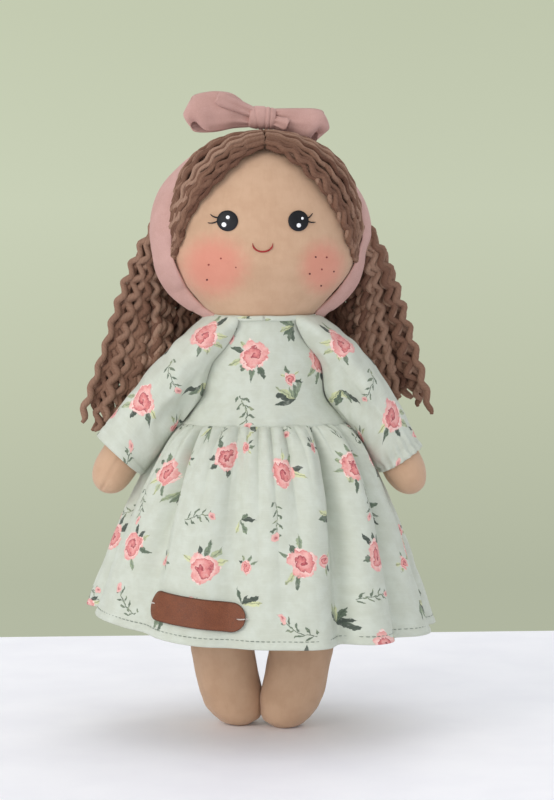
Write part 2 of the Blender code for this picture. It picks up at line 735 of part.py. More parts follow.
def headband(holder):
    """A cloth strip round the head: over the yarn at the top, on the skin from the cheeks down."""
    around = np.arange(BAND_SIDES) * 360 / BAND_SIDES
    side = np.where(around <= 180, 1, -1)
    angle = np.where(around <= 180, around, 360 - around)
    middle = band_forward(angle, side)
    inner, outer = [], []
    down = (angle - BAND_LEAVES_HAIR_ANGLE) / (BAND_ON_SKIN_ANGLE - BAND_LEAVES_HAIR_ANGLE)
    on_hair = 1 - smooth_step(down)
    for across in BAND_ROW_SHARES:
        direction = head_side_direction(angle, side, middle + across * BAND_WIDTH)
        seat = GAP + BAND_SEAT + BAND_SKIN_LIFT + (HAIR_SEAT + HAIR_LAYER - BAND_SKIN_LIFT) * on_hair
        inner.append(on_head(direction, seat))
        outer.append(on_head(direction, seat + BAND_THICKNESS))
    wall_between("headband", np.array(inner), np.array(outer), True, "ribbon", holder)


def knot_place():
    """The centre of the bow's knot, seated on the top of the headband."""
    seat = GAP + BAND_SEAT + HAIR_SEAT + HAIR_LAYER + BAND_THICKNESS + GAP
    middle = HEAD_DEPTH * BAND_PATH_SHARES[0]
    return np.array([0.0, middle, CROWN_Z + seat + KNOT_HEIGHT / 2])


def bow_knot(centre, holder):
    """The wrapped knot, a rounded block that is fuller in its middle."""
    rings = []
    for turn in np.radians(KNOT_ANGLES):
        x = math.copysign(abs(math.sin(turn)) ** KNOT_SIDE_POWER, turn) * KNOT_WIDTH / 2
        full = KNOT_END_SHARE + (1 - KNOT_END_SHARE) * math.cos(turn) ** KNOT_FULL_POWER
        loop = ellipse(KNOT_DEPTH / 2 * full, KNOT_HEIGHT / 2 * full, KNOT_SIDES)
        rings.append(centre + np.stack([0 * loop[:, 0] + x, loop[:, 0], loop[:, 1]], axis=1))
    points = np.concatenate(rings)
    faces = tube_faces(len(rings), KNOT_SIDES)
    faces.append(tuple(range(KNOT_SIDES)))
    faces.append(tuple(range(len(points) - KNOT_SIDES, len(points))))
    add_object("bow_knot", solid_mesh("bow_knot", points, faces), "ribbon", holder)


def ribbon_strip(name, middle, up, half, holder):
    """A strip of ribbon along a line of places, as wide as half says to each side of it."""
    rows = [middle + up * (half * across)[:, None] for across in RIBBON_ROW_SHARES]
    rows = np.array(rows)
    columns = rows.shape[1]
    points = rows.reshape(-1, 3)
    faces = []
    for i in range(len(rows) - 1):
        for j in range(columns - 1):
            a = i * columns + j
            faces.append((a, a + 1, a + 1 + columns, a + columns))
    strip = add_object(name, solid_mesh(name, points, faces), "ribbon", holder)
    wall = strip.modifiers.new("ribbon", "SOLIDIFY")
    wall.thickness = RIBBON_CLOTH
    wall.offset = 0


def bow_loop(name, centre, side, length, droop, rise, holder):
    """One loop of the bow: a strip that leaves the knot, turns back and returns behind itself."""
    t = np.linspace(0, 1, 17)
    start = KNOT_WIDTH / 2 + RIBBON_CLOTH / 2 + GAP
    out = (1 - np.cos(2 * math.pi * t)) / 2
    x = side * (start + length * out)
    full = LOOP_FULLNESS * np.sin(2 * math.pi * t) * (LOOP_NEAR_SHARE + (1 - LOOP_NEAR_SHARE) * out)
    y = -full - LOOP_END_SPREAD / 2 * np.cos(math.pi * t)
    z = rise - droop * out
    half = (LOOP_PINCH + (LOOP_HEIGHT - LOOP_PINCH) * out**LOOP_WIDEN_POWER) / 2
    middle = centre + np.stack([x, y, z], axis=1)
    ribbon_strip(name, middle, np.array([0, 0, 1]), half, holder)


def bow_tail(name, centre, side, length, forward, rise, holder):
    """A short cut end of the ribbon that leaves the knot in front of a loop."""
    t = np.linspace(0, 1, 6)
    x = side * (KNOT_WIDTH / 2 + GAP + length * t)
    y = -TAIL_STANDOFF - forward * smooth_step(t * TAIL_CURVE_SHARE)
    z = rise * (TAIL_ROOT_RISE_SHARE + (1 - TAIL_ROOT_RISE_SHARE) * t)
    half = TAIL_WIDTH / 2 * (TAIL_ROOT_WIDTH_SHARE + (1 - TAIL_ROOT_WIDTH_SHARE) * t)
    ribbon_strip(name, centre + np.stack([x, y, z], axis=1), np.array([0, 0, 1]), half, holder)


# Dress


def bodice_half(z):
    """(half width, half depth) of the bodice's inner side, clear of the trunk and the head."""
    trunk_x, trunk_y = trunk_half(z)
    head_x, head_y = head_half(z)
    above = z > NECK_Z - BINDING_RADIUS
    near_x = np.where(above, np.maximum(head_x, NECK_WIDTH / 2), trunk_x)
    near_y = np.where(above, np.maximum(head_y, NECK_DEPTH / 2), trunk_y)
    low = np.clip((SHOULDER_Z - UNDERARM_DROP - z) / (SHOULDER_RISE - UNDERARM_DROP - WAIST_RISE), 0, 1)
    ease = NECK_EASE + (WAIST_EASE - NECK_EASE) * smooth_step(low)
    return near_x + ease, near_y + ease


def bodice(holder):
    """The upper part of the dress with an armhole round each shoulder's axis."""
    top = HEAD_BASE_Z + NECKLINE_RISE
    levels = [WAIST_Z + GAP, SHOULDER_Z - UNDERARM_DROP * BODICE_UNDERARM_SHARE, SHOULDER_Z - UNDERARM_DROP]
    levels += [SHOULDER_Z + (NECK_Z - SHOULDER_Z) * share for share in BODICE_LEVEL_SHARES]
    inner, outer = [], []
    for z in levels + [top]:
        half_x, half_y = (float(v) for v in bodice_half(z))
        inner.append(ellipse(half_x, half_y, BODICE_SIDES) + [0, 0, z])
        outer.append(ellipse(half_x + DRESS_CLOTH, half_y + DRESS_CLOTH, BODICE_SIDES) + [0, 0, z])
    made = wall_between("dress_bodice", np.array(inner), np.array(outer), True, "dress_print", holder)
    for side, label in ((1, "left"), (-1, "right")):
        near, far = NECK_WIDTH / 4, WAIST_WIDTH / 2 + WAIST_EASE + CUT_OVERRUN
        ring = ellipse(ARMHOLE_DEPTH / 2, ARMHOLE_HEIGHT / 2, ARMHOLE_SIDES)
        rings = [
            np.stack([side * x + 0 * ring[:, 0], ring[:, 0] - ARM_FORWARD, ring[:, 1] + SHOULDER_Z], axis=1)
            for x in (near, far)
        ]
        faces = tube_faces(2, ARMHOLE_SIDES)
        faces.append(tuple(range(ARMHOLE_SIDES)))
        faces.append(tuple(range(ARMHOLE_SIDES, 2 * ARMHOLE_SIDES)))
        mesh = solid_mesh("armhole_cutter_" + label, np.concatenate(rings), faces)
        cutter = bpy.data.objects.new("armhole_cutter_" + label, mesh)
        bpy.context.scene.collection.objects.link(cutter)
        cutter.hide_render = True
        cutter.display_type = "WIRE"
        hole = made.modifiers.new("armhole_" + label, "BOOLEAN")
        hole.operation = "DIFFERENCE"
        hole.solver = "EXACT"
        hole.object = cutter


def hem_height(turn):
    """The hem's height at an angle from the doll's front: it rides up on its right side."""
    return HEM_HEIGHT + HEM_RIGHT_RISE * np.clip(-np.sin(turn), 0, 1) ** HEM_RISE_POWER


def skirt_folds(turn, down):
    """How far the skirt's folds stand out at an angle from the front and a share of the way to the hem."""
    depth = SKIRT_FOLD_DEPTH * np.clip(down / SKIRT_FOLD_FULL_SHARE, 0, 1)
    off = 0 * turn + 0 * down
    for (waist_place, hem_place, width), shares in zip(SKIRT_FOLD_ANGLES, SKIRT_FOLD_DEPTH_SHARES):
        middle = np.radians(waist_place + (hem_place - waist_place) * smooth_step(down))
        away = (turn - middle + math.pi) % (2 * math.pi) - math.pi
        share = shares[0] + (shares[1] - shares[0]) * down
        off = off + depth * share * np.exp(-((away / math.radians(width)) ** 2))
    return off


def skirt_point(turn, down, lift):
    """A point of the skirt at an angle from the doll's front, towards its left, lifted off its inner side.

    Down is the share of the way from the waist to the hem. The skirt flares less under the arms.
    """
    waist_x, waist_y = bodice_half(WAIST_Z)
    side = np.abs(np.sin(turn)) ** SKIRT_SIDE_POWER
    flare = down ** (SKIRT_FLARE_POWER + (SKIRT_SIDE_FLARE_POWER - SKIRT_FLARE_POWER) * side)
    off = lift + skirt_folds(turn, down)
    x = (waist_x + (HEM_WIDTH / 2 - waist_x) * flare + off) * np.sin(turn)
    y = -(waist_y + (HEM_DEPTH / 2 - waist_y) * flare + off) * np.cos(turn)
    z = WAIST_Z + (hem_height(turn) - WAIST_Z) * down
    return np.stack([x, y, z], axis=-1)


def skirt(holder):
    """The gathered skirt, open at the hem."""
    turn = np.arange(SKIRT_SIDES) * 2 * math.pi / SKIRT_SIDES
    inner = np.array([skirt_point(turn, share, 0) for share in SKIRT_LEVEL_SHARES])
    outer = np.array([skirt_point(turn, share, DRESS_CLOTH) for share in SKIRT_LEVEL_SHARES])
    wall_between("dress_skirt", inner, outer, True, "dress_print", holder)


def sleeve_seat(side, spread):
    """The seam ring on the bodice that a sleeve starts from, spread outward by a length."""
    turn = np.arange(SLEEVE_SIDES) * 2 * math.pi / SLEEVE_SIDES
    z = SHOULDER_Z - SLEEVE_SEAT_DROP + (SLEEVE_SEAT_HEIGHT / 2 + spread) * np.sin(turn)
    y = (SLEEVE_SEAT_DEPTH / 2 + spread) * np.cos(turn)
    half_x, half_y = bodice_half(z)
    half_x, half_y = half_x + DRESS_CLOTH, half_y + DRESS_CLOTH
    x = half_x * np.sqrt(1 - (y / half_y) ** 2)
    slope_x, slope_y = x / half_x**2, y / half_y**2
    slope = np.hypot(slope_x, slope_y)
    x = x + SLEEVE_SEAT_LIFT * slope_x / slope
    y = y + SLEEVE_SEAT_LIFT * slope_y / slope
    return np.stack([side * x, y, z], axis=1)


def sleeve(name, side, end_angle, cuff_width, holder):
    """A straight sleeve from a slanting seam on the bodice to a loose cuff."""
    shares = np.linspace(SLEEVE_FREE_SHARE, SLEEVE_END_SHARE, 3)
    walls = []
    for spread in (0, DRESS_CLOTH):
        rings = []
        for share, (centre, angle) in zip(shares, arm_frames(side, end_angle, shares)):
            along = (share - SLEEVE_FREE_SHARE) / (SLEEVE_END_SHARE - SLEEVE_FREE_SHARE)
            across = (SLEEVE_UPPER_WIDTH + (cuff_width - SLEEVE_UPPER_WIDTH) * along) / 2 + spread
            deep = SLEEVE_UPPER_WIDTH / 2 + spread
            flat = ellipse(deep, across, SLEEVE_SIDES)
            up = np.array([side * math.cos(angle), 0, math.sin(angle)])
            rings.append(centre + flat[:, :1] * np.array([0, 1, 0]) + flat[:, 1:2] * up)
        seat = sleeve_seat(side, spread)
        rings = [seat, seat + (rings[0] - seat) / 3, seat + (rings[0] - seat) * 2 / 3] + rings
        walls.append(np.array(rings))
    wall_between(name, walls[0], walls[1], True, "dress_print", holder)


def neck_binding(holder):
    """The rolled edge that finishes the neckline."""
    z = HEAD_BASE_Z + NECKLINE_RISE + BINDING_RADIUS + GAP
    half_x, half_y = head_half(z + BINDING_RADIUS)
    edge = NECK_EASE / 2 + BINDING_RADIUS
    path = ellipse(float(half_x) + edge, float(half_y) + edge, 32) + [0, 0, z]
    thread("neck_binding", path, BINDING_RADIUS, True, "dress_print", holder)


def back_buttons(holder):
    """Dished buttons down the back opening of the bodice."""
    for i, label in enumerate(("lower", "middle", "upper")):
        rise = BUTTON_FIRST_RISE + BUTTON_PITCH * i
        z = WAIST_Z + rise
        half_y = float(bodice_half(z)[1]) + DRESS_CLOTH
        table = trunk_table()
        lean = np.interp(rise + WAIST_RISE + BUTTON_RADIUS, table[:, 0], table[:, 2])
        lean -= np.interp(rise + WAIST_RISE - BUTTON_RADIUS, table[:, 0], table[:, 2])
        bm = bmesh.new()
        bmesh.ops.create_cone(
            bm,
            cap_ends=True,
            segments=16,
            radius1=BUTTON_RADIUS,
            radius2=BUTTON_RADIUS - BUTTON_DISH,
            depth=BUTTON_THICKNESS,
        )
        top = max(bm.faces, key=lambda face: face.calc_center_median().z)
        bmesh.ops.inset_region(bm, faces=[top], thickness=BUTTON_RADIUS / 3)
        for vert in top.verts:
            vert.co.z -= BUTTON_DISH
        mesh = bpy.data.meshes.new("back_button_" + label)
        bm.to_mesh(mesh)
        bm.free()
        button = bpy.data.objects.new("back_button_" + label, mesh)
        bpy.context.scene.collection.objects.link(button)
        mesh.materials.append(material("button"))
        button.parent = holder
        tip = abs(lean) / 2 + GAP
        button.location = (0, half_y + tip + 2 * GAP + BUTTON_THICKNESS / 2, z - holder.location.z)
        button.rotation_euler = (-math.pi / 2, 0, 0)


def label_point(along, across, lift):
    """A point of the leather label: along and across run from its middle, in metres, over the folds."""
    z = HEM_HEIGHT + LABEL_RISE + across * math.cos(LABEL_TILT) - along * math.sin(LABEL_TILT)
    half_x = HEM_WIDTH / 2 * LABEL_REACH_SHARE
    middle = -math.asin(LABEL_ACROSS / half_x)
    turn = middle + (along * math.cos(LABEL_TILT) + across * math.sin(LABEL_TILT)) / half_x
    down = (WAIST_Z - z) / (WAIST_Z - hem_height(turn))
    return skirt_point(turn, down, DRESS_CLOTH + LABEL_SEAT + lift)


def leather_label(holder):
    """A blank strip of leather with round ends, curved to the skirt, held by a stitch at each end."""
    across = np.sin(np.radians(np.linspace(-90, 90, 9)))[:, None] * LABEL_HEIGHT / 2
    straight = (LABEL_LENGTH - LABEL_HEIGHT) / 2
    reach = straight + np.sqrt(np.clip((LABEL_HEIGHT / 2) ** 2 - across**2, 0, None))
    along = np.linspace(-1, 1, 13)[None, :] * reach
    across = across + 0 * along
    inner = label_point(along, across, 0)
    outer = label_point(along, across, LABEL_THICKNESS)
    wall_between("leather_label", inner, outer, False, "leather", holder)
    for end, label in ((1, "left"), (-1, "right")):
        t = np.linspace(-STITCH_INSET, STITCH_OVERHANG, 7)
        along = end * (LABEL_LENGTH / 2 + t)
        lift = LABEL_THICKNESS + GAP + STITCH_RADIUS
        path = label_point(along, 0 * t, lift + 0 * t)
        thread("label_stitch_" + label, path, STITCH_RADIUS, False, "white_thread", holder)


# Face


def eye(name, side, holder):
    """A thin domed disc that follows the face."""
    spoke = np.arange(EYE_SIDES) * 2 * math.pi / EYE_SIDES
    shares = np.array(EYE_RING_SHARES)
    x = side * EYE_SPACING / 2 + EYE_RADIUS * shares[:, None] * np.cos(spoke)
    z = HEAD_BASE_Z + EYE_HEIGHT + EYE_RADIUS * shares[:, None] * np.sin(spoke)
    dome = EYE_THICKNESS * np.sqrt(1 - EYE_DOME_SHARE * shares[:, None] ** 2) + 0 * x
    inner = on_face(x, z, GAP + 0 * x)
    outer = on_face(x, z, GAP + dome)
    points = np.concatenate([inner.reshape(-1, 3), outer[::-1].reshape(-1, 3)])
    faces = tube_faces(2 * len(shares), len(spoke))
    faces.append(tuple(range(len(spoke))))
    faces.append(tuple(range(len(points) - len(spoke), len(points))))
    add_object(name, solid_mesh(name, points, faces), "eye_paint", holder)


def mouth(holder):
    """A smile of thread."""
    t = np.linspace(-1, 1, 11)
    x = MOUTH_WIDTH / 2 * t
    z = HEAD_BASE_Z + MOUTH_HEIGHT - MOUTH_DROP * np.sqrt(np.clip(1 - MOUTH_ARC_SHARE * t**2, 0, 1))
    path = on_face(x, z, GAP + MOUTH_THREAD + 0 * x)
    thread("mouth_stitch", path, MOUTH_THREAD, False, "mouth_thread", holder)


def hip_seam(holder):
    """The rolled seam across the base of the trunk that both legs are sewn to."""
    half = HIP_SEAM_WIDTH / 2
    path = [(-half, 0, HIP_Z), (0, 0, HIP_Z), (half, 0, HIP_Z)]
    thread("hip_seam", path, HIP_SEAM_RADIUS, False, "skin_cotton", holder, resolution=2)


def build():
    clear_scene()
    trunk = anchor("trunk_anchor", (0, 0, HIP_Z))
    head = anchor("head_anchor", tuple(HEAD_CENTRE))
    fold = anchor("sit_fold_axis", (0, 0, HIP_Z))
    stuffed_parts("trunk", trunk_rings(), 2, "skin_cotton", trunk)
    stuffed_parts("head", head_rings(), 0, "skin_cotton", head)
    hip_seam(fold)
    sides = (
        (1, "left", ARM_LEFT_END_ANGLE, SLEEVE_LEFT_CUFF_WIDTH),
        (-1, "right", ARM_RIGHT_END_ANGLE, SLEEVE_RIGHT_CUFF_WIDTH),
    )
    for side, label, end_angle, cuff_width in sides:
        shoulder = anchor("shoulder_axis_" + label, (side * SHOULDER_X, -ARM_FORWARD, SHOULDER_Z))
        stuffed_parts("arm_" + label, arm_rings(side, end_angle), 1, "skin_cotton", shoulder)
        sleeve("sleeve_" + label, side, end_angle, cuff_width, shoulder)
        hip = anchor("hip_axis_" + label, (side * LEG_WIDTH / 2, 0, HIP_Z))
        stuffed_parts("leg_" + label, leg_rings(side), 2, "skin_cotton", hip)
        eye("eye_" + label, side, head)
        hair_parting("hair_parting_" + label, side, head)
    mouth(head)
    half = math.pi / 2
    hair_curtain("hair_back", -SIDE_CURL_START, SIDE_CURL_START, BACK_COLUMNS, CURL_TIP_HEIGHT, head)
    hair_curtain("hair_curls_left", SIDE_CURL_START, half, SIDE_COLUMNS, CURL_LEFT_TIP_HEIGHT, head)
    hair_curtain("hair_curls_right", -half, -SIDE_CURL_START, SIDE_COLUMNS, CURL_TIP_HEIGHT, head)
    headband(head)
    knot = knot_place()
    bow = anchor("bow_anchor", tuple(knot))
    bow_knot(knot, bow)
    bow_loop("bow_loop_right", knot, -1, LOOP_RIGHT_LENGTH, 0, LOOP_RIGHT_RISE, bow)
    bow_loop("bow_loop_left", knot, 1, LOOP_LEFT_LENGTH, LOOP_LEFT_DROOP, 0, bow)
    bow_tail("bow_tail_right", knot, -1, TAIL_RIGHT_LENGTH, TAIL_RIGHT_FORWARD, TAIL_RIGHT_RISE, bow)
    bow_tail("bow_tail_left", knot, 1, TAIL_LEFT_LENGTH, TAIL_LEFT_FORWARD, -TAIL_LEFT_DROP, bow)
    bodice(trunk)
    skirt(trunk)
    neck_binding(trunk)
    back_buttons(trunk)
    leather_label(fold)


build()
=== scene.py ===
"""The finish of a stuffed cloth rag doll with crimped yarn hair, a knotted headband and a print dress.

All lengths are metres. +X is the doll's left, -Y its front and +Z up, with the floor at zero. A turn is an
angle round the doll from its front towards its left. A side is 1 for the doll's left and -1 for its right.
"""

import functools
import json
import math

import bpy
import numpy as np
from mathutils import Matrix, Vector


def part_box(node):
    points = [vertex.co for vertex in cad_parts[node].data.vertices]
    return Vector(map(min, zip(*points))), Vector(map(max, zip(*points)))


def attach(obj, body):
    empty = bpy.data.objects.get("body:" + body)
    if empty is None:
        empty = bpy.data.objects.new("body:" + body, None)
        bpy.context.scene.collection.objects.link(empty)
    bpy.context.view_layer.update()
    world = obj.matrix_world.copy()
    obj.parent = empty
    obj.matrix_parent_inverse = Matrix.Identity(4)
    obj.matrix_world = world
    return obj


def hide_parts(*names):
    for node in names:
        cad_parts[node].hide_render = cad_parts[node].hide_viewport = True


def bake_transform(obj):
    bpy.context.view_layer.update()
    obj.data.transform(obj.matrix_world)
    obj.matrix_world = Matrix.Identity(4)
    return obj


bl_info = {
    "name": "Rag Doll",
    "version": (1, 0, 0),
    "blender": (4, 5, 0),
    "location": "View3D > Sidebar > Rag Doll",
    "description": "Sewn, stuffed and dressed pieces of a cloth doll, made from a few sizes and colours",
    "category": "Add Mesh",
}

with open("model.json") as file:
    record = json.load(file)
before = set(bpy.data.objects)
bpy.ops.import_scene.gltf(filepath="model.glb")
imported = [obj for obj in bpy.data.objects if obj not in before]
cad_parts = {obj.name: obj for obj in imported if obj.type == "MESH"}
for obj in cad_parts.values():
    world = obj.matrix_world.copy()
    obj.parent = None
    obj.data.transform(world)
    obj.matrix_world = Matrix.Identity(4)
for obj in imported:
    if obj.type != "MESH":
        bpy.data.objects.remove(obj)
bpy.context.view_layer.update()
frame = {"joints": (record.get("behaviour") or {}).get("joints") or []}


def node_box(node):
    """The lowest and highest corner of one of the frame's nodes."""
    low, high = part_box(node)
    return np.array(low), np.array(high)


# Places and sizes read from the frame
HEAD_LOW, HEAD_HIGH = node_box("head_skin")
SKIRT_LOW, SKIRT_HIGH = node_box("dress_skirt")
KNOT_LOW, KNOT_HIGH = node_box("bow_knot")
SEAM_LOW, SEAM_HIGH = node_box("hip_seam")
SHOULDER = np.array([j["pos_m"] for j in frame["joints"] if j["name"] == "shoulder_left"][0])
HIP_Z = float(SEAM_LOW[2] + SEAM_HIGH[2]) / 2
SIDES = ((1, "left"), (-1, "right"))
FULL = 2 * math.pi
FRONT = np.array([0.0, -1.0, 0.0])
UP = np.array([0.0, 0.0, 1.0])

# Head: an egg, widest below its middle
HEAD_WIDTH = float(HEAD_HIGH[0] - HEAD_LOW[0])
HEAD_DEPTH = float(HEAD_HIGH[1] - HEAD_LOW[1])
HEAD_BASE_Z = float(HEAD_LOW[2])
CROWN_Z = HEAD_BASE_Z + 0.1150
HEAD_HEIGHT = CROWN_Z - HEAD_BASE_Z
WIDEST_Z = HEAD_BASE_Z + 0.0485
HEAD_CENTRE = np.array([0.0, 0.0, (HEAD_BASE_Z + CROWN_Z) / 2])
NECK_WIDTH = 0.0580
NECK_DEPTH = 0.0520
CROWN_POWER = 2.4
CHIN_POWER = 1.5

# Trunk: heights above the hip seam, half width and half depth at each
TRUNK_RISES = (0.0033, 0.010, 0.018, 0.030, 0.050, 0.066, 0.078, 0.084, 0.104, 0.113, 0.1185, 0.1232)
TRUNK_HALF_WIDTHS = (
    0.0380, 0.0410, 0.0440, 0.0462, 0.0463, 0.0458, 0.0390, 0.0374, 0.0374, 0.0330, 0.0288, 0.0284,
)
TRUNK_HALF_DEPTHS = (
    0.0020, 0.0080, 0.0145, 0.0245, 0.0263, 0.0262, 0.0255, 0.0248, 0.0248, 0.0254, 0.0258, 0.0256,
)

# Dress. The bodice's own form follows the trunk's more simply
WAIST_Z = float(SKIRT_HIGH[2])
HEM_Z = float(SKIRT_LOW[2])
NECKLINE_Z = float(node_box("dress_bodice")[1][2])
CHEST_Z = 0.214
DRESS_CLOTH = 0.0008
BODICE_WIDTH_RISES = (0.003, 0.0400, 0.0640, 0.0780, 0.0840, 0.1040, 0.1188)
BODICE_HALF_WIDTHS = (0.038, 0.0465, 0.0460, 0.0392, 0.0376, 0.0376, 0.0290)
BODICE_DEPTH_RISES = (0.003, 0.0327, 0.0640, 0.0780, 0.1040, 0.1188)
BODICE_HALF_DEPTHS = (0.0014, 0.0265, 0.0265, 0.0258, 0.0250, 0.0260)
SKIRT_TOP_Z = WAIST_Z + 0.0006
SKIRT_HALF_WIDTH = 0.1052
SKIRT_HALF_DEPTH = 0.0905
SKIRT_FLARE = 0.62
SKIRT_SIDE_FLARE = 0.70
WAIST_TUCK = 0.0014
# The skirt's broad folds: degrees from the front at the waist and at the hem, width, and share of the depth
# at the waist and at the hem, outwards where it is above zero
FOLDS = (
    (-98, -100, 13, 0.5, 1), (-82, -84, 9, -0.6, -0.9), (-64, -68, 12, 0.5, 0.7), (-49, -47, 8, -1.6, -0.4),
    (-32, -30, 14, 0.6, 0.5), (-15, -14, 9, -0.6, -0.4), (4, 1, 10, 0.5, 0.3), (21, 14, 9, 1, 1),
    (34, 26, 8, -1.8, -1.3), (47, 38, 10, 1, 1), (60, 51, 8, -0.9, -0.9), (70, 64, 10, 0.5, 0.8),
    (84, 81, 9, -0.6, -0.9), (99, 98, 13, 0.6, 1), (118, 118, 9, -0.8, -1), (137, 138, 12, 0.8, 1.1),
    (157, 158, 9, -0.8, -1.1), (177, 178, 12, 0.6, 0.7), (197, 199, 9, -0.8, -1), (218, 218, 12, 0.7, 1.1),
    (239, 240, 9, -0.8, -0.9),
)
FOLD_DEPTH = 0.0062
GROOVE_SHARE = 0.62
GATHER_DEPTH = 0.0042
# A bend of the skirt with the seat, from a start to an end; placed reads neither value and only bakes the pieces
# in place
SIT = {"start": (0.0, 0.060, 0.190), "end": (0.0, -0.150, -0.060)}
# The raglan seam, from the armpit up the front, along the neckline and down the back: degrees and heights
SEAM_FRONT_TURNS = {1: (82, 75, 64, 50, 34), -1: (78, 70, 54, 41, 29)}
SEAM_REST_TURNS = (56, 90, 130, 153, 144, 135, 118, 108, 90)
SEAM_LEVELS = (
    0.1895, 0.198, 0.212, 0.232, 0.246, 0.2605, 0.2612, 0.2615,
    0.2612, 0.2605, 0.246, 0.232, 0.212, 0.198, 0.1895,
)
# Each sleeve: its cuff's place along the arm, half width, half depth, extra angle and shift, then how far
# it bows out, rounds and hangs full
SLEEVES = {
    1: (0.765, 0.0150, 0.0148, 0.10, 0.0008, 0.0085, 0.0062, 0.0085),
    -1: (0.75, 0.0184, 0.0172, 0.20, 0.0020, 0.0035, 0.0045, 0.0040),
}

# Limbs
LEG_WIDTH = 0.0405
LEG_DEPTH = 0.0380
LEG_TOP_WIDTH = 0.0340
LEG_WEDGE = math.radians(26)
LEG_END = 0.0260
LEG_HEIGHT_SHARES = (0, 0.03, 0.06, 0.128, 0.25, 0.37, 1)
LEG_INSEAM_SHARES = (0.178, 0.02, -0.03, -0.045, 0.04, 0.118, 0.054)
LEG_SEAM_TURN = math.radians(62)
LEG_OVERLAP = 0.0014
LEG_PRESS = 0.92
STANCE_STEP = 0.0050
STANCE_BACK = 0.0072
ARM_LENGTH = 0.1000
ARM_WIDTH = 0.0262
ARM_TOP_WIDTH = 0.0205
ARM_END = 0.0190
ARM_TOP_ANGLE = math.radians(72)
ARM_END_ANGLES = {1: math.radians(27), -1: math.radians(30)}
ARM_SEAM_TURNS = {1: math.radians(160), -1: math.radians(82)}

# Hair
HAIR_SPLIT = 0.0042
HAIR_LINE_ANGLES = (0, 45, 80, 95, 105)
HAIR_LINE_SHARES = (0.295, 0.48, 0.367, 0.265, 0.12)
# Outline of the free hair: heights above the neck, half width and reach behind at each
HAIR_RISES = (-0.068, -0.050, -0.025, 0.006, 0.032, 0.048, 0.065, 0.080)
HAIR_HALF_WIDTHS = (0.1115, 0.1080, 0.1005, 0.0910, 0.0820, 0.0755, 0.0665, 0.0580)
HAIR_BACK_REACHES = (0.0590, 0.0588, 0.0580, 0.0575, 0.0570, 0.0560, 0.0550, 0.0500)
# Layers of hair in front: strands, first and last share, height over the skin, and how far they puff up
FRONT_LAYERS = ((14, 0.0, 1.0, 0.0021, 0.0), (12, 0.035, 0.86, 0.0044, 0.0014))

# Headband
BAND_PATH_ANGLES = (0, 45, 90, 122, 143, 152, 180)
BAND_PATH_SHARES = (0.015, -0.008, -0.076, -0.100, -0.085, 0.080, 0.688)
BAND_TURN_SHARE = 0.11
BAND_WIDTH = 0.0190
# Its lower part, seen from the front: angles, then each edge's x and z for each side, and how far the rear
# edge lies behind the front one
BAND_LOW_ANGLES = (86, 96, 106, 116, 126, 136, 148)
BAND_INNER_X = {
    1: (0.0625, 0.0610, 0.0585, 0.0535, 0.0480, 0.0415, 0.0330),
    -1: (0.0582, 0.0575, 0.0545, 0.0498, 0.0450, 0.0385, 0.0292),
}
BAND_INNER_Z = {
    1: (0.3180, 0.3070, 0.2960, 0.2865, 0.2785, 0.2715, 0.2640),
    -1: (0.3140, 0.3020, 0.2922, 0.2832, 0.2757, 0.2686, 0.2618),
}
BAND_OUTER_X = {
    1: (0.0655, 0.0650, 0.0640, 0.0610, 0.0560, 0.0490, 0.0385),
    -1: (0.0690, 0.0684, 0.0660, 0.0612, 0.0552, 0.0462, 0.0340),
}
BAND_OUTER_Z = {
    1: (0.3175, 0.3050, 0.2930, 0.2820, 0.2745, 0.2680, 0.2610),
    -1: (0.3135, 0.3000, 0.2886, 0.2789, 0.2720, 0.2658, 0.2600),
}
BAND_SLANT = (0.0150, 0.0140, 0.0130, 0.0115, 0.0100, 0.0080, 0.0060)
# Each loop of the bow: length, heights of its top and bottom edge at quarters of the way out, and its lean
LOOPS = {
    -1: (0.0420, (0.0052, 0.0138, 0.0156, 0.0146, 0.0122), (-0.0050, -0.0058, -0.0078, -0.0084, -0.0076), 0),
    1: (0.0350, (0.0050, 0.0052, 0.0054, 0.0050, 0.0030), (-0.0056, -0.0090, -0.0120, -0.0148, -0.0152), 0.24),
}
# Each tail of the bow: length, how far it comes forward and rises, and half its width
TAILS = {-1: (0.0230, 0.0064, 0.0122, 0.0044), 1: (0.0100, 0.0044, -0.0046, 0.0036)}

# Face: places on the doll's front, and lengths from each eye's middle
FACE_TURN = -0.0022
EYE_SPACING = 0.0430
EYE_Z = HEAD_BASE_Z + 0.0666
EYE_RADIUS = 0.0063
EYE_HEIGHT = 0.0010
PAINT_LIFT = 0.0004
MOUTH_WIDTH = 0.0122
MOUTH_DEPTH = 0.0051
MOUTH_Z = HEAD_BASE_Z + 0.0530
FRECKLE_RADIUS = 0.00055
FRECKLES = (
    (-0.0278, 0.2976), (-0.0351, 0.2937), (-0.0187, 0.2922), (-0.0359, 0.2844),
    (0.0303, 0.2984), (0.0374, 0.2982), (0.0345, 0.2908),
    (0.0268, 0.2881), (0.0426, 0.2894), (0.0347, 0.2806),
)
# Blush: x, z, half width, half height and strength of each patch
BLUSH = ((-0.0322, 0.2925, 0.0245, 0.0222, 0.58), (0.0355, 0.2920, 0.0175, 0.0195, 0.52))
# Each lash: root, bend and tip
LASHES = {
    1: (
        ((0.0048, 0.0012), (0.0072, 0.0020), (0.0090, 0.0046)),
        ((0.0057, -0.0002), (0.0081, -0.0013), (0.0107, -0.0007)),
    ),
    -1: (
        ((-0.0052, 0.0019), (-0.0084, 0.0020), (-0.0101, 0.0040)),
        ((-0.0060, -0.0002), (-0.0089, -0.0019), (-0.0117, -0.0011)),
    ),
}
GLINTS = {
    1: ((0.0021, 0.0014, 0.0008), (-0.0001, -0.0028, 0.0013)),
    -1: ((0.0005, 0.0020, 0.0011), (-0.0018, -0.0024, 0.0014)),
}

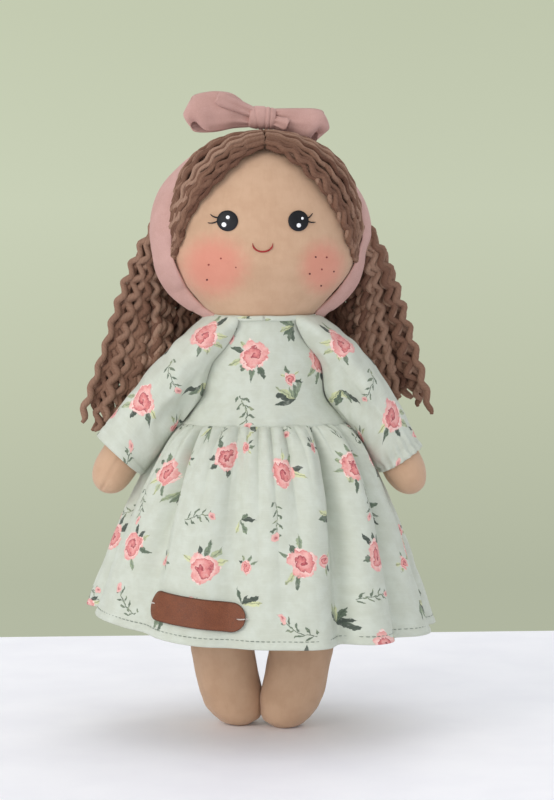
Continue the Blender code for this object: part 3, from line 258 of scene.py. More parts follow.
# Label
LABEL_HALF_LENGTH = 0.0315
LABEL_HALF_HEIGHT = 0.0086
LABEL_THICKNESS = 0.0013
LABEL_LIFT = 0.0012
LABEL_TURN = math.radians(-27.0)
LABEL_TILT = math.radians(6.5)
LABEL_RISE = 0.0195
LABEL_REACH = 0.098

# Buttons: the turned profile from its back to its hub, as shares of the radius and of the thickness
BUTTON_RADII = (0.05, 0.72, 0.94, 1.0, 1.0, 0.95, 0.84, 0.74, 0.66, 0.45, 0.2, 0.03)
BUTTON_RISES = (0.0, 0.0, 0.08, 0.25, 0.6, 0.88, 1.0, 0.93, 0.66, 0.6, 0.62, 0.63)


# Arithmetic that the pieces share


def srgb(code):
    """A hex colour as four linear values."""
    parts = [int(code[i : i + 2], 16) / 255 for i in (1, 3, 5)]
    return [v / 12.92 if v <= 0.04045 else ((v + 0.055) / 1.055) ** 2.4 for v in parts] + [1.0]


def unit(v):
    return v / np.maximum(np.linalg.norm(v, axis=-1, keepdims=True), 1e-12)


def smooth(t):
    """0 to 1 with flat ends: t squared times (3 - 2t)."""
    t = np.clip(t, 0, 1)
    return t * t * (3 - 2 * t)


def mix(a, b, t):
    return a + (b - a) * t


def bell(x):
    """exp(-x squared): 1 in the middle and next to nothing at 2."""
    return np.exp(-(x**2))


def squared(wave, power):
    """A wave's size raised to a power with its sign kept, which pushes a circle out towards a square."""
    return np.sign(wave) * np.abs(wave) ** power


def round_turns(count):
    """Evenly spaced angles once round."""
    return np.arange(count) * FULL / count


def turn_from(turn, middle):
    """The angle from middle to turn, within half a round either way."""
    return (turn - middle + math.pi) % FULL - math.pi


def summed(run):
    """Running totals along the last axis, from zero."""
    return np.concatenate([np.zeros(run.shape[:-1] + (1,)), np.cumsum(run, axis=-1)], axis=-1)


def lengths(points):
    """Distances between neighbours along the last axis but one."""
    return np.linalg.norm(np.diff(points, axis=-2), axis=-1)


def follow(places, values, at):
    """A smooth curve through values at places: an eased step plus the two slopes' own arcs."""
    places, values = np.array(places, float), np.array(values, float)
    slopes = np.gradient(values, places)
    k = np.clip(np.searchsorted(places, at, side="right") - 1, 0, len(places) - 2)
    run = places[k + 1] - places[k]
    t = (at - places[k]) / run
    arcs = run * t * (1 - t) * (slopes[k] * (1 - t) - slopes[k + 1] * t)
    return mix(values[k], values[k + 1], smooth(t)) + arcs


def ripple(points, wavelength, seed, count=7):
    """A smooth random height between about -1 and 1: the mean of sines along random directions."""
    rng = np.random.default_rng(seed)
    pull = unit(rng.normal(size=(count, 3))) * FULL / wavelength * rng.uniform(0.7, 1.4, (count, 1))
    return np.sin(points @ pull.T + rng.uniform(0, FULL, count)).mean(-1) * 1.7


def resample(path, count):
    """The same line as count points at even spacing along its length."""
    run = summed(lengths(path))
    at = np.linspace(0, run[-1], count)
    return np.stack([np.interp(at, run, path[:, k]) for k in range(3)], axis=1)


def normals(grid):
    """Unit normals of a grid of rings, from the cross product of its differences, pointing off its axis."""
    n = unit(np.cross(np.roll(grid, -1, 1) - np.roll(grid, 1, 1), np.gradient(grid, axis=0)))
    away = grid - grid.mean(axis=1, keepdims=True)
    return n * (1 if (n * away).sum() >= 0 else -1)


def pushed(grid, off):
    """A grid of rings with each point moved along its normal."""
    return grid + normals(grid) * off[..., None]


def ellipse(half_x, half_y, turn):
    """Points at turns from the front towards the doll's left: x is the sine and -y the cosine."""
    return np.stack([half_x * np.sin(turn), -half_y * np.cos(turn)], axis=-1)


def xyz(x, y, z):
    """Points from their coordinates, spread to one shape."""
    return np.stack(np.broadcast_arrays(x, y, z), -1)


def at_height(flat, z):
    """Points seen from above, each with its height."""
    return np.concatenate([flat, np.broadcast_to(z, flat.shape[:-1])[..., None]], -1)


# Meshes

QUAD = ((0, 0), (0, 1), (1, 1), (1, 0))


def linked(name, data):
    piece = bpy.data.objects.new(name, data)
    bpy.context.scene.collection.objects.link(piece)
    return piece


def mesh_piece(name, points, quads, caps, places, material):
    """A smooth piece: points, faces of four corners with each corner's UV in metres, and end caps."""
    mesh = bpy.data.meshes.new(name)
    mesh.from_pydata(points, [], quads.tolist() + [cap.tolist() for cap in caps])
    flat = np.zeros((len(mesh.loops), 2), np.float32)
    flat[: len(quads) * 4] = places.reshape(-1, 2)
    mesh.uv_layers.new(name="UVMap").data.foreach_set("uv", flat.ravel())
    mesh.shade_smooth()
    mesh.materials.append(material)
    return linked(name, mesh)


def point_values(piece, name, values):
    """Stores one value a point, for the material to read."""
    values = np.asarray(values, np.float32).ravel()
    piece.data.attributes.new(name, "FLOAT", "POINT").data.foreach_set("value", values)


def cloth_uv(grid):
    """UV in metres on a grid of rings: the mean arc length round and down it."""
    around = np.linalg.norm(np.roll(grid, -1, 1) - grid, axis=2).mean(0)
    down = np.linalg.norm(np.diff(grid, axis=0), axis=2).mean(1)
    return np.stack(np.broadcast_arrays(summed(around)[None, :], summed(down)[:, None]), -1)


def body(name, grid, material, wrap_rows=False, uv=None):
    """A closed mesh from rings of points: rows joined side by side, each ring round, both ends capped.

    With wrap_rows the last ring joins the first. Its faces are turned so that its volume is positive.
    """
    rows, columns = grid.shape[:2]
    uv = cloth_uv(grid) if uv is None else uv
    if wrap_rows and len(uv) == rows:
        uv = np.concatenate([uv, uv[:1]])
    i = np.arange(rows if wrap_rows else rows - 1)[:, None]
    j = np.arange(columns)[None, :]
    quads = np.stack([(i + a) % rows * columns + (j + b) % columns for a, b in QUAD], -1).reshape(-1, 4)
    places = np.stack([uv[i + a, j + b] for a, b in QUAD], 2).reshape(-1, 4, 2)
    points = grid.reshape(-1, 3)
    caps = [] if wrap_rows else [np.arange(columns)[::-1], np.arange(columns) + (rows - 1) * columns]
    a, b, c, d = (points[quads[:, k]] for k in range(4))
    volume = np.einsum("ij,ij->", a, np.cross(b, c)) + np.einsum("ij,ij->", a, np.cross(c, d))
    for fan in (points[cap] for cap in caps):
        volume += np.einsum("j,ij->", fan[0], np.cross(fan[1:-1], fan[2:]))
    if volume < 0:
        quads, places = quads[:, ::-1], places[:, ::-1]
        caps = [cap[::-1] for cap in caps]
    return mesh_piece(name, points, quads, caps, places, material)


def cloth(name, grid, thickness, material, uv=None):
    """A shell of cloth hung on rings of points: the grid is its outer side.

    The inner side lies one thickness in along the normals, and each free edge has a rounded rim.
    """
    inner = grid - normals(grid) * thickness
    rim_low = (grid[-1] + inner[-1]) / 2 + unit(grid[-1] - grid[-2]) * thickness / 2
    rim_high = (grid[0] + inner[0]) / 2 + unit(grid[0] - grid[1]) * thickness / 2
    loop = np.concatenate([grid, rim_low[None], inner[::-1], rim_high[None]])
    uv = cloth_uv(grid) if uv is None else uv
    uv = np.concatenate([uv, uv[-1:], uv[::-1], uv[:1], uv[:1]])
    return body(name, loop, material, wrap_rows=True, uv=uv)


def strip(name, middle, up, half, thickness, material, belly):
    """A ribbon along a line: half its width to each side along up, with a rounded section.

    belly (points along, across) pushes its face out along the third direction, for folds.
    """
    face = unit(np.cross(unit(np.gradient(middle, axis=0)), up))
    s = np.linspace(-1, 1, belly.shape[1])
    sheet = middle[:, None] + up[:, None] * (half[:, None] * s)[..., None] + face[:, None] * belly[..., None]
    wall = face[:, None] * thickness / 2 * np.sqrt(1 - 0.75 * s**2)[None, :, None]
    edge = (up * thickness / 2)[:, None]
    parts = (sheet + wall, sheet[:, -1:] + edge, (sheet - wall)[:, ::-1], sheet[:, :1] - edge)
    u = np.concatenate([(s + 1) / 2, [1], (1 - s) / 2, [0, 0]]) * 2 * half.max()
    uv = np.stack(np.broadcast_arrays(u[None, :], summed(lengths(middle))[:, None]), -1)
    return body(name, np.concatenate(parts, axis=1), material, uv=uv)


def tubes(name, paths, outward, radius, material, sides=7, seed=1, twist=0.008):
    """Round strands along paths (strand, step, xyz): a ring of sides points at each step.

    Each ring lies across the path, leans on its outward direction, and has two soft lobes that turn
    once in a twist of length. Flat caps close its ends. Each strand has its own tone from 0 to 1.
    """
    count, steps = paths.shape[:2]
    rng = np.random.default_rng(seed)
    along = unit(np.gradient(paths, axis=1))
    side = unit(np.cross(along, outward))
    up = np.cross(side, along)
    run = summed(lengths(paths))
    turn = round_turns(sides)
    shift = rng.uniform(0, FULL, (count, 1, 1))
    lobes = 1 + 0.05 * np.cos(2 * turn - FULL * run[..., None] / twist + shift)
    reach = (radius[..., None] * lobes)[..., None]
    turn = turn[None, None, :, None]
    grid = paths[:, :, None] + reach * (np.cos(turn) * side[:, :, None] - np.sin(turn) * up[:, :, None])
    j, k, i = np.meshgrid(np.arange(steps - 1), np.arange(sides), np.arange(count), indexing="ij")
    quads = np.stack([(i * steps + j + a) * sides + (k + b) % sides for a, b in QUAD], -1).reshape(-1, 4)
    start = np.arange(count)[:, None] * steps * sides + np.arange(sides)
    caps = np.concatenate([start[:, ::-1], start + (steps - 1) * sides])
    girth = FULL * float(radius.mean())
    offset = rng.uniform(0, 1, count)
    uv = [np.stack([(k + b) / sides * girth, run[i, j + a] + offset[i]], -1).reshape(-1, 2) for a, b in QUAD]
    piece = mesh_piece(name, grid.reshape(-1, 3), quads, caps, np.stack(uv, 1), material)
    point_values(piece, "tone", np.repeat(rng.uniform(0, 1, count), steps * sides))
    return piece


def thread(name, paths, outward, radius, material, taper=0.35):
    """Plain thread along one or more paths of equal count, thinner at its ends by the taper."""
    paths = np.array(paths, float)
    t = np.linspace(0, 1, paths.shape[1])
    ends = mix(taper, 1, smooth(np.minimum(t, 1 - t) * 6))
    return tubes(name, paths, outward, radius * ends * np.ones(paths.shape[:2]), material, 8, 3, 0.0016)


# Materials

# What the word after the slash in a node's kind sets
OPTIONS = {
    "Math": "operation", "VectorMath": "operation", "Mix": "data_type", "MapRange": "interpolation_type",
    "TexNoise": "noise_dimensions", "TexWave": "bands_direction", "TexVoronoi": "feature",
    "VectorRotate": "rotation_type",
}


def join(tree, value, socket):
    """Links a node's first enabled output, links a socket, or sets a plain value."""
    if isinstance(value, bpy.types.Node):
        value = next(s for s in value.outputs if s.enabled)
    if isinstance(value, bpy.types.NodeSocket):
        tree.links.new(value, socket)
    else:
        socket.default_value = value


def add(tree, kind, *values, stops=(), **settings):
    """Adds a node, with its option after a slash, as in Math/ADD.

    The values fill its enabled sockets in order. Settings name its properties or sockets, and stops are a
    colour ramp's.
    """
    kind, _, option = kind.partition("/")
    node = tree.nodes.new("ShaderNode" + kind)
    if option:
        setattr(node, OPTIONS[kind], option)
    for key in [key for key in settings if hasattr(node, key)]:
        setattr(node, key, settings.pop(key))
    for _ in stops[2:]:
        node.color_ramp.elements.new(1.0)
    for element, (place, colour) in zip(node.color_ramp.elements if stops else (), stops):
        element.position = place
        element.color = colour
    pairs = list(zip([s for s in node.inputs if s.enabled], values))
    for socket, value in pairs + [(node.inputs[key], value) for key, value in settings.items()]:
        if value is not None:
            join(tree, value, socket)
    return node


def new_material(name, roughness, **sockets):
    """A Principled material, a function that adds its nodes, and its UV and Object coordinates.

    Values that are the same all over sit on the shader's own sockets.
    """
    made = bpy.data.materials.new(name)
    made.use_nodes = True
    shader = made.node_tree.nodes["Principled BSDF"]
    for key, value in {"Roughness": roughness, **sockets}.items():
        shader.inputs[key.replace("_", " ")].default_value = value
    node = functools.partial(add, made.node_tree)
    outputs = node("TexCoord").outputs
    return made, node, outputs["UV"], outputs["Object"]


def coat(made, base, *reliefs):
    """Gives the shader its base colour, and reliefs of (height, depth in metres) chained on its normal."""
    tree, normal = made.node_tree, None
    for height, depth in reliefs:
        normal = add(tree, "Bump", Height=height, Distance=depth, Strength=1.0, Normal=normal)
    shader = tree.nodes["Principled BSDF"]
    join(tree, base, shader.inputs["Base Color"])
    if normal:
        join(tree, normal, shader.inputs["Normal"])
    return made


def weave(node, place, pitch):
    """Height of a plain weave: crossing sine bands, one period for each thread pitch."""
    bands = [node("TexWave/" + axis, place, FULL / 20 / pitch).outputs["Fac"] for axis in "XY"]
    return node("Math/MULTIPLY", *bands)


def skin_cloth(name, colours, blush):
    """Plain-woven cotton sheeting, dyed skin colour and brushed: matt, with a faint nap and slubs.

    The face is airbrushed with two soft patches of blush. Threads are 0.45 mm apart, as in sheeting.
    """
    sheen = {"Sheen_Weight": 0.18, "Sheen_Roughness": 0.45}
    made, node, uv, place = new_material(name, 0.88, Specular_IOR_Level=0.25, **sheen)
    slub = node("TexNoise/4D", node("VectorMath/MULTIPLY", uv, (1.0, 0.08, 1.0)), 0.0, 1 / 0.0011, 3)
    mottle = node("TexNoise/4D", place, 2.0, 1 / 0.012, 3, 0.6)
    patches = node("MapRange/SMOOTHSTEP", mottle, 0.3, 0.7)
    base = node("Mix/RGBA", patches, tuple(colours.skin), tuple(colours.skin_shade))
    base = node("Mix/RGBA", node("MapRange/SMOOTHSTEP", slub, 0.45, 0.8, 0.0, 0.12), base, srgb("#B08C6E"))
    if blush:
        grain = node("TexNoise/4D", place, 0.0, 1 / 0.004, 4, 0.65)
        front = node("MapRange/SMOOTHSTEP", node("SeparateXYZ", place).outputs["Y"], -0.002, -0.010)
        for x, z, wide, high, strength in BLUSH:
            off = node("VectorMath/SUBTRACT", place, (x, 0.0, z))
            off = node("VectorMath/MULTIPLY", off, (1 / wide, 0.0, 1 / high))
            far = node("Math/MULTIPLY_ADD", grain, 0.35, node("VectorMath/LENGTH", off))
            near = node("MapRange/SMOOTHSTEP", far, 1.325, 0.525, 0.0, strength)
            base = node("Mix/RGBA", node("Math/MULTIPLY", near, front), base, tuple(colours.blush))
    nap = node("TexNoise/4D", place, 0.0, 1 / 0.0007, 3, 0.7)
    return coat(made, base, (weave(node, uv, 0.00045), 0.00006), (nap, 0.00008), (mottle, 0.0004))


def ribbon_jersey(name, colours):
    """Cotton single jersey, cut and rolled: soft and matt, with fine ribs of knit along its length."""
    sheen = {"Sheen_Weight": 0.35, "Sheen_Roughness": 0.4, "Sheen_Tint": srgb("#F3DAD3")}
    made, node, uv, place = new_material(name, 0.9, Specular_IOR_Level=0.2, **sheen)
    ribs = node("TexWave/X", uv, 0.314 / 0.0007).outputs["Fac"]
    loops = node("TexWave/Y", uv, 0.314 / 0.0006).outputs["Fac"]
    fluff = node("TexNoise/4D", place, 0.0, 1 / 0.0008, 3, 0.7)
    worn = node("TexNoise/4D", place, 4.0, 1 / 0.014, 3, 0.6)
    patches = node("MapRange/SMOOTHSTEP", worn, 0.3, 0.7)
    base = node("Mix/RGBA", patches, tuple(colours.ribbon), tuple(colours.ribbon_shade))
    base = node("Mix/RGBA", node("MapRange/SMOOTHSTEP", fluff, 0.4, 0.75, 0.0, 0.18), base, srgb("#E3BDB6"))
    return coat(made, base, (node("Math/MULTIPLY", ribs, loops), 0.00009), (fluff, 0.0001), (worn, 0.0005))


def wool_yarn(name, colours):
    """Crimped wool yarn, two-ply: brown with paler fuzz, and painted shade darkens the grooves between the plies.

    The plies cross the strand every 2.6 mm and the fuzz is drawn 0.3 mm coarse, so that it shows.
    """
    sheen = {"Sheen_Weight": 0.3, "Sheen_Roughness": 0.35, "Sheen_Tint": srgb("#C9A893")}
    made, node, uv, place = new_material(name, 0.95, Specular_IOR_Level=0.15, **sheen)
    split = node("SeparateXYZ", uv).outputs
    lean = node("Math/MULTIPLY_ADD", split["X"], 0.8, split["Y"])
    lean = node("Math/MULTIPLY_ADD", node("TexNoise/4D", place, 0.0, 1 / 0.003, 2), 0.0016, lean)
    ply = node("Math/SINE", node("Math/MULTIPLY", lean, FULL / 0.0026))
    ply = node("Math/MULTIPLY_ADD", ply, 0.5, 0.5)
    fibre = node("TexNoise/4D", node("VectorMath/MULTIPLY", uv, (1.0, 0.25, 1.0)), 0.0, 1 / 0.0005, 3, 0.75)
    fuzz = node("TexNoise/4D", place, 7.0, 1 / 0.0004, 2, 0.8)
    tone = node("Math/MULTIPLY", node("Attribute", attribute_name="tone").outputs["Fac"], 0.6)
    tone = node("Math/MULTIPLY_ADD", node("TexNoise/4D", place, 3.0, 1 / 0.022, 2), 0.4, tone)
    tones = ((0.2, colours.yarn_shade), (0.5, colours.yarn), (0.8, colours.yarn_light))
    base = node("ValToRGB", tone, stops=tones)
    # Painted shade: a darker copy of the yarn colour laid into the grooves between the plies, where shade falls
    deep = node("Mix/RGBA", 1.0, base, srgb("#9A8478"), blend_type="MULTIPLY")
    base = node("Mix/RGBA", node("MapRange/SMOOTHSTEP", ply, 0.0, 0.5, 0.15, 0.0), base, deep)
    pale = node("MapRange/SMOOTHSTEP", fibre, 0.5, 0.78, 0.0, 0.3)
    base = node("Mix/RGBA", pale, base, tuple(colours.yarn_light))
    return coat(made, base, (ply, 0.00005), (fibre, 0.00022), (fuzz, 0.00022))


def cell_place(node, uv, cell, shift, seed, spread):
    """Cuts the cloth into square cells and finds the place in each: (local metres, three random values).

    A hash of the cell's corner moves the middle by up to half the spread, and noise wobbles the rest as a
    brush would.
    """
    scaled = node("VectorMath/ADD", uv, (shift[0] * cell, shift[1] * cell, 0.0))
    scaled = node("VectorMath/SCALE", scaled, 1 / cell)
    corner = node("VectorMath/ADD", node("VectorMath/FLOOR", scaled), (0.5, 0.5, seed))
    dice = node("TexWhiteNoise", corner).outputs["Color"]
    jitter = node("VectorMath/SCALE", dice, spread)
    local = node("VectorMath/SUBTRACT", node("VectorMath/FRACTION", scaled), jitter)
    local = node("VectorMath/SUBTRACT", local, (0.5 - spread / 2, 0.5 - spread / 2, 0.0))
    local = node("VectorMath/SCALE", local, cell)
    for lump, reach in ((0.0090, 0.0055), (0.0024, 0.0026)):
        brush = node("TexNoise", uv, 1 / lump).outputs["Color"]
        brush = node("VectorMath/SCALE", node("VectorMath/SUBTRACT", brush, (0.5, 0.5, 0.5)), reach)
        local = node("VectorMath/ADD", local, brush)
    return node("VectorMath/MULTIPLY", local, (1.0, 1.0, 0.0)), dice


def polar(node, local, spin):
    """Distance and angle of a place, turned by a share of a full round."""
    place = node("SeparateXYZ", local).outputs
    angle = node("Math/ARCTAN2", place["Y"], place["X"])
    return node("VectorMath/LENGTH", local), node("Math/MULTIPLY_ADD", spin, FULL, angle)


def leaf_fan(node, local, dice, seed, start, long, sectors, open_share, wash, colours):
    """Pointed leaves fanned out round a point: (colour, cover).

    The angle is cut into sectors, and those within the open share hold a leaf each, a bar along the
    sector's middle whose width is a sine of the way along it. A hash of the sector sets length and tone.
    """
    parts = node("SeparateColor", dice).outputs
    reach, angle = polar(node, local, parts["Red"])
    sector = node("Math/MULTIPLY", node("Math/ADD", angle, 2 * FULL), sectors / FULL)
    index = node("Math/FLOORED_MODULO", node("Math/FLOOR", sector), float(sectors))
    key = node("CombineXYZ", index, seed, parts["Green"])
    draw = node("SeparateColor", node("TexWhiteNoise", key).outputs["Color"]).outputs
    off = node("Math/SUBTRACT", node("Math/FRACT", sector), 0.5)
    lean = node("Math/MULTIPLY_ADD", draw["Blue"], 0.5, -0.25)
    side = node("Math/MULTIPLY", node("Math/ADD", off, lean), reach)
    side = node("Math/ABSOLUTE", node("Math/MULTIPLY", side, FULL / sectors))
    length = node("Math/MULTIPLY_ADD", draw["Red"], 0.6 * long, 0.55 * long)
    along = node("Math/DIVIDE", node("Math/SUBTRACT", reach, start), length)
    inside = node("Math/MULTIPLY", node("Math/GREATER_THAN", along, 0.0), node("Math/LESS_THAN", along, 1.0))
    shape = node("Math/POWER", node("Math/ABSOLUTE", along), 0.7)
    width = node("Math/MULTIPLY", node("Math/SINE", node("Math/MULTIPLY", shape, math.pi)), long * 0.20)
    leaf = node("MapRange/SMOOTHSTEP", node("Math/SUBTRACT", width, side), -0.0001, 0.0003)
    leaf = node("Math/MULTIPLY", leaf, inside)
    shown = node("Math/LESS_THAN", index, sectors * open_share)
    shown = node("Math/MULTIPLY", shown, node("Math/GREATER_THAN", draw["Green"], 0.16))
    stalk = node("Math/MULTIPLY", node("Math/LESS_THAN", side, 0.00022), node("Math/LESS_THAN", along, 0.15))
    leaf = node("Math/MULTIPLY", node("Math/MAXIMUM", leaf, stalk), shown)
    tone = node("Math/MULTIPLY_ADD", node("Math/SUBTRACT", wash, 0.5), 0.7, draw["Blue"])
    tones = ((0.15, srgb("#3F4941")), (0.4, colours.leaf), (0.66, srgb("#8E9E82")), (0.92, srgb("#D2D6A6")))
    colour = node("ValToRGB", tone, stops=tones)
    vein = node("MapRange/SMOOTHSTEP", side, 0.0, 0.0006, 0.55, 0.0)
    colour = node("Mix/RGBA", vein, colour, srgb("#39433C"))
    return colour, node("Math/MULTIPLY", leaf, node("MapRange/SMOOTHSTEP", wash, 0.22, 0.5, 0.6, 0.96))


def bloom(node, local, dice, radius, wash, colours):
    """A cabbage rose: (colour, cover).

    Its edge is a circle with a few low lobes. Inside, the fraction of a spiral of the radius and angle
    shades the petals from pale rims to dark folds, deepest at the heart.
    """
    reach, angle = polar(node, local, node("SeparateColor", dice).outputs["Green"])
    lobes = node("Math/SINE", node("Math/MULTIPLY", angle, 3.0))
    more = node("Math/SINE", node("Math/MULTIPLY_ADD", angle, 5.0, 1.3))
    edge = node("Math/MULTIPLY_ADD", lobes, radius * 0.09, node("Math/MULTIPLY", more, radius * 0.05))
    edge = node("Math/MULTIPLY_ADD", wash, radius * 0.5, edge)
    edge = node("Math/ADD", edge, radius * 0.62)
    cover = node("MapRange/SMOOTHSTEP", node("Math/SUBTRACT", edge, reach), -0.0001, 0.0006)
    share = node("Math/DIVIDE", reach, radius)
    coil = node("Math/MULTIPLY_ADD", share, 2.3, node("Math/DIVIDE", angle, FULL))
    coil = node("Math/FRACT", node("Math/MULTIPLY_ADD", wash, 1.9, coil))
    inner = node("Math/SUBTRACT", 1.0, share)
    fold = node("Math/MULTIPLY_ADD", inner, 0.55, node("Math/MULTIPLY", coil, 0.6))
    pale, deep = ((0.12, srgb("#F6DAD2")), (0.38, colours.rose_light)), ((0.72, colours.rose),)
    tones = pale + deep + ((1.0, colours.rose_dark),)
    colour = node("ValToRGB", fold, stops=tones)
    rim = node("MapRange/SMOOTHSTEP", share, 0.85, 0.3, 0.0, 0.8)
    rim = node("Math/MULTIPLY", node("MapRange/SMOOTHSTEP", coil, 0.74, 0.97), rim)
    colour = node("Mix/RGBA", rim, colour, srgb("#9C3F4B"))
    return colour, node("Math/MULTIPLY", cover, node("MapRange/SMOOTHSTEP", wash, 0.18, 0.42, 0.75, 0.97))


def sprig(node, local, dice, long, wash, colours):
    """A curved twig with leaves on alternate sides and a bud at its tip: (colour, cover).

    In axes turned at random the twig is a parabola. Leaves repeat along it, leaning forward, and the
    bud is an ellipse at the end.
    """
    spin = node("Math/MULTIPLY", node("SeparateColor", dice).outputs["Blue"], FULL)
    place = node("SeparateXYZ", node("VectorRotate/Z_AXIS", local, Angle=spin)).outputs
    p = place["X"]
    bend = node("Math/MULTIPLY", node("Math/MULTIPLY", p, p), 0.16 / long)
    q = node("Math/SUBTRACT", place["Y"], bend)
    far = node("Math/ABSOLUTE", q)
    within = node("Math/LESS_THAN", node("Math/ABSOLUTE", p), long)
    stem = node("Math/MULTIPLY", node("MapRange/SMOOTHSTEP", far, 0.00045, 0.0002), within)
    side = node("Math/MULTIPLY", node("Math/GREATER_THAN", q, 0.0), 0.5)
    step = long * 0.55
    run = node("Math/SUBTRACT", p, node("Math/MULTIPLY", far, 0.9))
    run = node("Math/ADD", node("Math/DIVIDE", run, step), side)
    middle = node("Math/ABSOLUTE", node("Math/SUBTRACT", node("Math/FRACT", run), 0.5))
    middle = node("Math/MULTIPLY", middle, step)
    out = node("Math/DIVIDE", far, long * 0.42)
    width = node("Math/SINE", node("Math/MULTIPLY", node("Math/MINIMUM", out, 1.0), math.pi))
    width = node("Math/SUBTRACT", node("Math/MULTIPLY", width, long * 0.10), middle)
    leaf = node("MapRange/SMOOTHSTEP", width, -0.0001, 0.0003)
    leaf = node("Math/MULTIPLY", leaf, node("Math/MULTIPLY", within, node("Math/LESS_THAN", out, 1.0)))
    cover = node("Math/MAXIMUM", stem, leaf)
    tones = ((0.25, srgb("#46503F")), (0.5, colours.leaf), (0.75, srgb("#A5AD84")))
    colour = node("ValToRGB", wash, stops=tones)
    tip = node("CombineXYZ", node("Math/SUBTRACT", p, long * 1.1), node("Math/MULTIPLY", q, 1.35), 0.0)
    tip = node("VectorMath/LENGTH", tip)
    bud = node("MapRange/SMOOTHSTEP", tip, long * 0.30, long * 0.25)
    pink = node("MapRange/SMOOTHSTEP", node("Math/MULTIPLY_ADD", wash, 0.002, tip), long * 0.08, long * 0.30)
    pink = node("Mix/RGBA", pink, tuple(colours.rose_dark), tuple(colours.rose_light))
    colour = node("Mix/RGBA", bud, colour, pink)
    return colour, node("Math/MULTIPLY", node("Math/MAXIMUM", cover, bud), 0.92)


def dress_cotton(name, sizes, colours):
    """Plain-woven cotton lawn with a pigment print of roses and leaf sprays on pale sage.

    The print lies on the flat cloth, so it gathers where the cloth does. Threads are 0.4 mm apart.
    """
    sheen = {"Sheen_Weight": 0.12, "Sheen_Roughness": 0.5}
    made, node, uv, _ = new_material(name, 0.82, Specular_IOR_Level=0.3, **sheen)
    cell = sizes.print_spacing
    size = sizes.rose_diameter / 2
    mottle = node("MapRange/SMOOTHSTEP", node("TexNoise/4D", uv, 0.0, 1 / 0.010, 3, 0.6), 0.35, 0.7)
    base = node("Mix/RGBA", mottle, tuple(colours.dress), tuple(colours.dress_light))
    wash = node("TexNoise/4D", uv, 0.3, 1 / 0.0042, 3, 0.65)
    place = cell_place(node, uv, cell, (0.0, 0.5), 9.3, 0.45)
    layers = [sprig(node, *place, size * 0.95, wash, colours)]
    place = cell_place(node, uv, cell, (0.5, 0.5), 4.1, 0.35)
    layers.append(leaf_fan(node, *place, 4.1, 0.0006, size * 1.15, 13, 0.42, wash, colours))
    place = cell_place(node, uv, cell, (0.5, 0.0), 6.6, 0.5)
    layers.append(leaf_fan(node, *place, 6.6, size * 0.35, size * 0.5, 9, 0.5, wash, colours))
    layers.append(bloom(node, *place, size * 0.42, wash, colours))
    place = cell_place(node, uv, cell, (0.0, 0.0), 2.2, 0.3)
    layers.append(leaf_fan(node, *place, 2.2, size * 0.72, size * 0.85, 11, 0.46, wash, colours))
    layers.append(bloom(node, *place, size * 0.98, wash, colours))
    for colour, cover in layers:
        base = node("Mix/RGBA", cover, base, colour)
    slub = node("TexNoise/4D", node("VectorMath/MULTIPLY", uv, (0.06, 1.0, 1.0)), 0.0, 1 / 0.0009, 2)
    base = node("Mix/RGBA", node("MapRange/SMOOTHSTEP", slub, 0.5, 0.8, 0.0, 0.12), base, srgb("#EEF0E8"))
    crumple = node("TexNoise/4D", uv, 5.0, 1 / 0.007, 3, 0.55)
    return coat(made, base, (weave(node, uv, 0.0004), 0.00006), (slub, 0.00007), (crumple, 0.0004))


def label_leather(name, colours):
    """Vegetable-tanned cowhide, die cut and burnished: warm brown, darker at its worn edge, fine pores."""
    made, node, _, place = new_material(name, 0.5, Specular_IOR_Level=0.4)
    cells = node("TexVoronoi/DISTANCE_TO_EDGE", place, Scale=1 / 0.0011)
    tone = node("TexNoise/4D", place, 0.0, 1 / 0.007, 4, 0.6)
    patches = node("MapRange/SMOOTHSTEP", tone, 0.3, 0.7)
    base = node("Mix/RGBA", patches, tuple(colours.leather), tuple(colours.leather_light))
    pores = node("MapRange/SMOOTHSTEP", cells, 0.0, 0.12, 0.45, 0.0)
    base = node("Mix/RGBA", pores, base, srgb("#4A2A1B"))
    base = node("Mix/RGBA", node("Attribute", attribute_name="rim").outputs["Fac"], base, srgb("#3E2215"))
    rough = node("MapRange/SMOOTHSTEP", tone, 0.2, 0.8, 0.42, 0.6)
    join(made.node_tree, rough, made.node_tree.nodes["Principled BSDF"].inputs["Roughness"])
    return coat(made, base, (node("MapRange/SMOOTHSTEP", cells, 0.0, 0.25), 0.00008), (tone, 0.0003))


def gloss_paint(name, colour, roughness, other):
    """Raised fabric paint, dabbed on and dried to a satin skin that is slightly uneven."""
    made, node, _, place = new_material(name, roughness, Specular_IOR_Level=0.3)
    uneven = node("TexNoise/4D", place, 0.0, 1 / 0.0022, 2)
    base = node("Mix/RGBA", node("MapRange/SMOOTHSTEP", uneven, 0.35, 0.7), tuple(colour), srgb(other))
    return coat(made, base, (uneven, 0.0001))


def cotton_thread(name, colour):
    """Six-strand cotton thread, twisted: matt, with a fine diagonal lay whose grooves are darkened with painted
    shade.
    """
    made, node, uv, _ = new_material(name, 0.8, Sheen_Weight=0.2, Specular_IOR_Level=0.25)
    split = node("SeparateXYZ", uv).outputs
    lean = node("Math/ADD", split["Y"], split["X"])
    lay = node("Math/SINE", node("Math/MULTIPLY", lean, FULL / 0.0007))
    # Painted shade: the thread colour darkened in the grooves of the lay, where shade falls
    dark = node("Mix/RGBA", 1.0, tuple(colour), srgb("#B8AFAF"), blend_type="MULTIPLY")
    base = node("Mix/RGBA", node("MapRange/SMOOTHSTEP", lay, -0.9, 0.2, 0.6, 0.0), tuple(colour), dark)
    return coat(made, base, (lay, 0.0001))


def button_resin(name):
    """Cast polyester button, tumbled: ivory, semi-gloss, with a faint pearly cloud."""
    made, node, _, place = new_material(name, 0.32, Coat_Weight=0.3, Coat_Roughness=0.2)
    cloud = node("TexNoise/4D", place, 0.0, 1 / 0.003, 3)
    base = node("Mix/RGBA", node("MapRange/SMOOTHSTEP", cloud, 0.3, 0.7), srgb("#E6E0CF"), srgb("#D8D0BB"))
    return coat(made, base, (cloud, 0.00005))


# Body


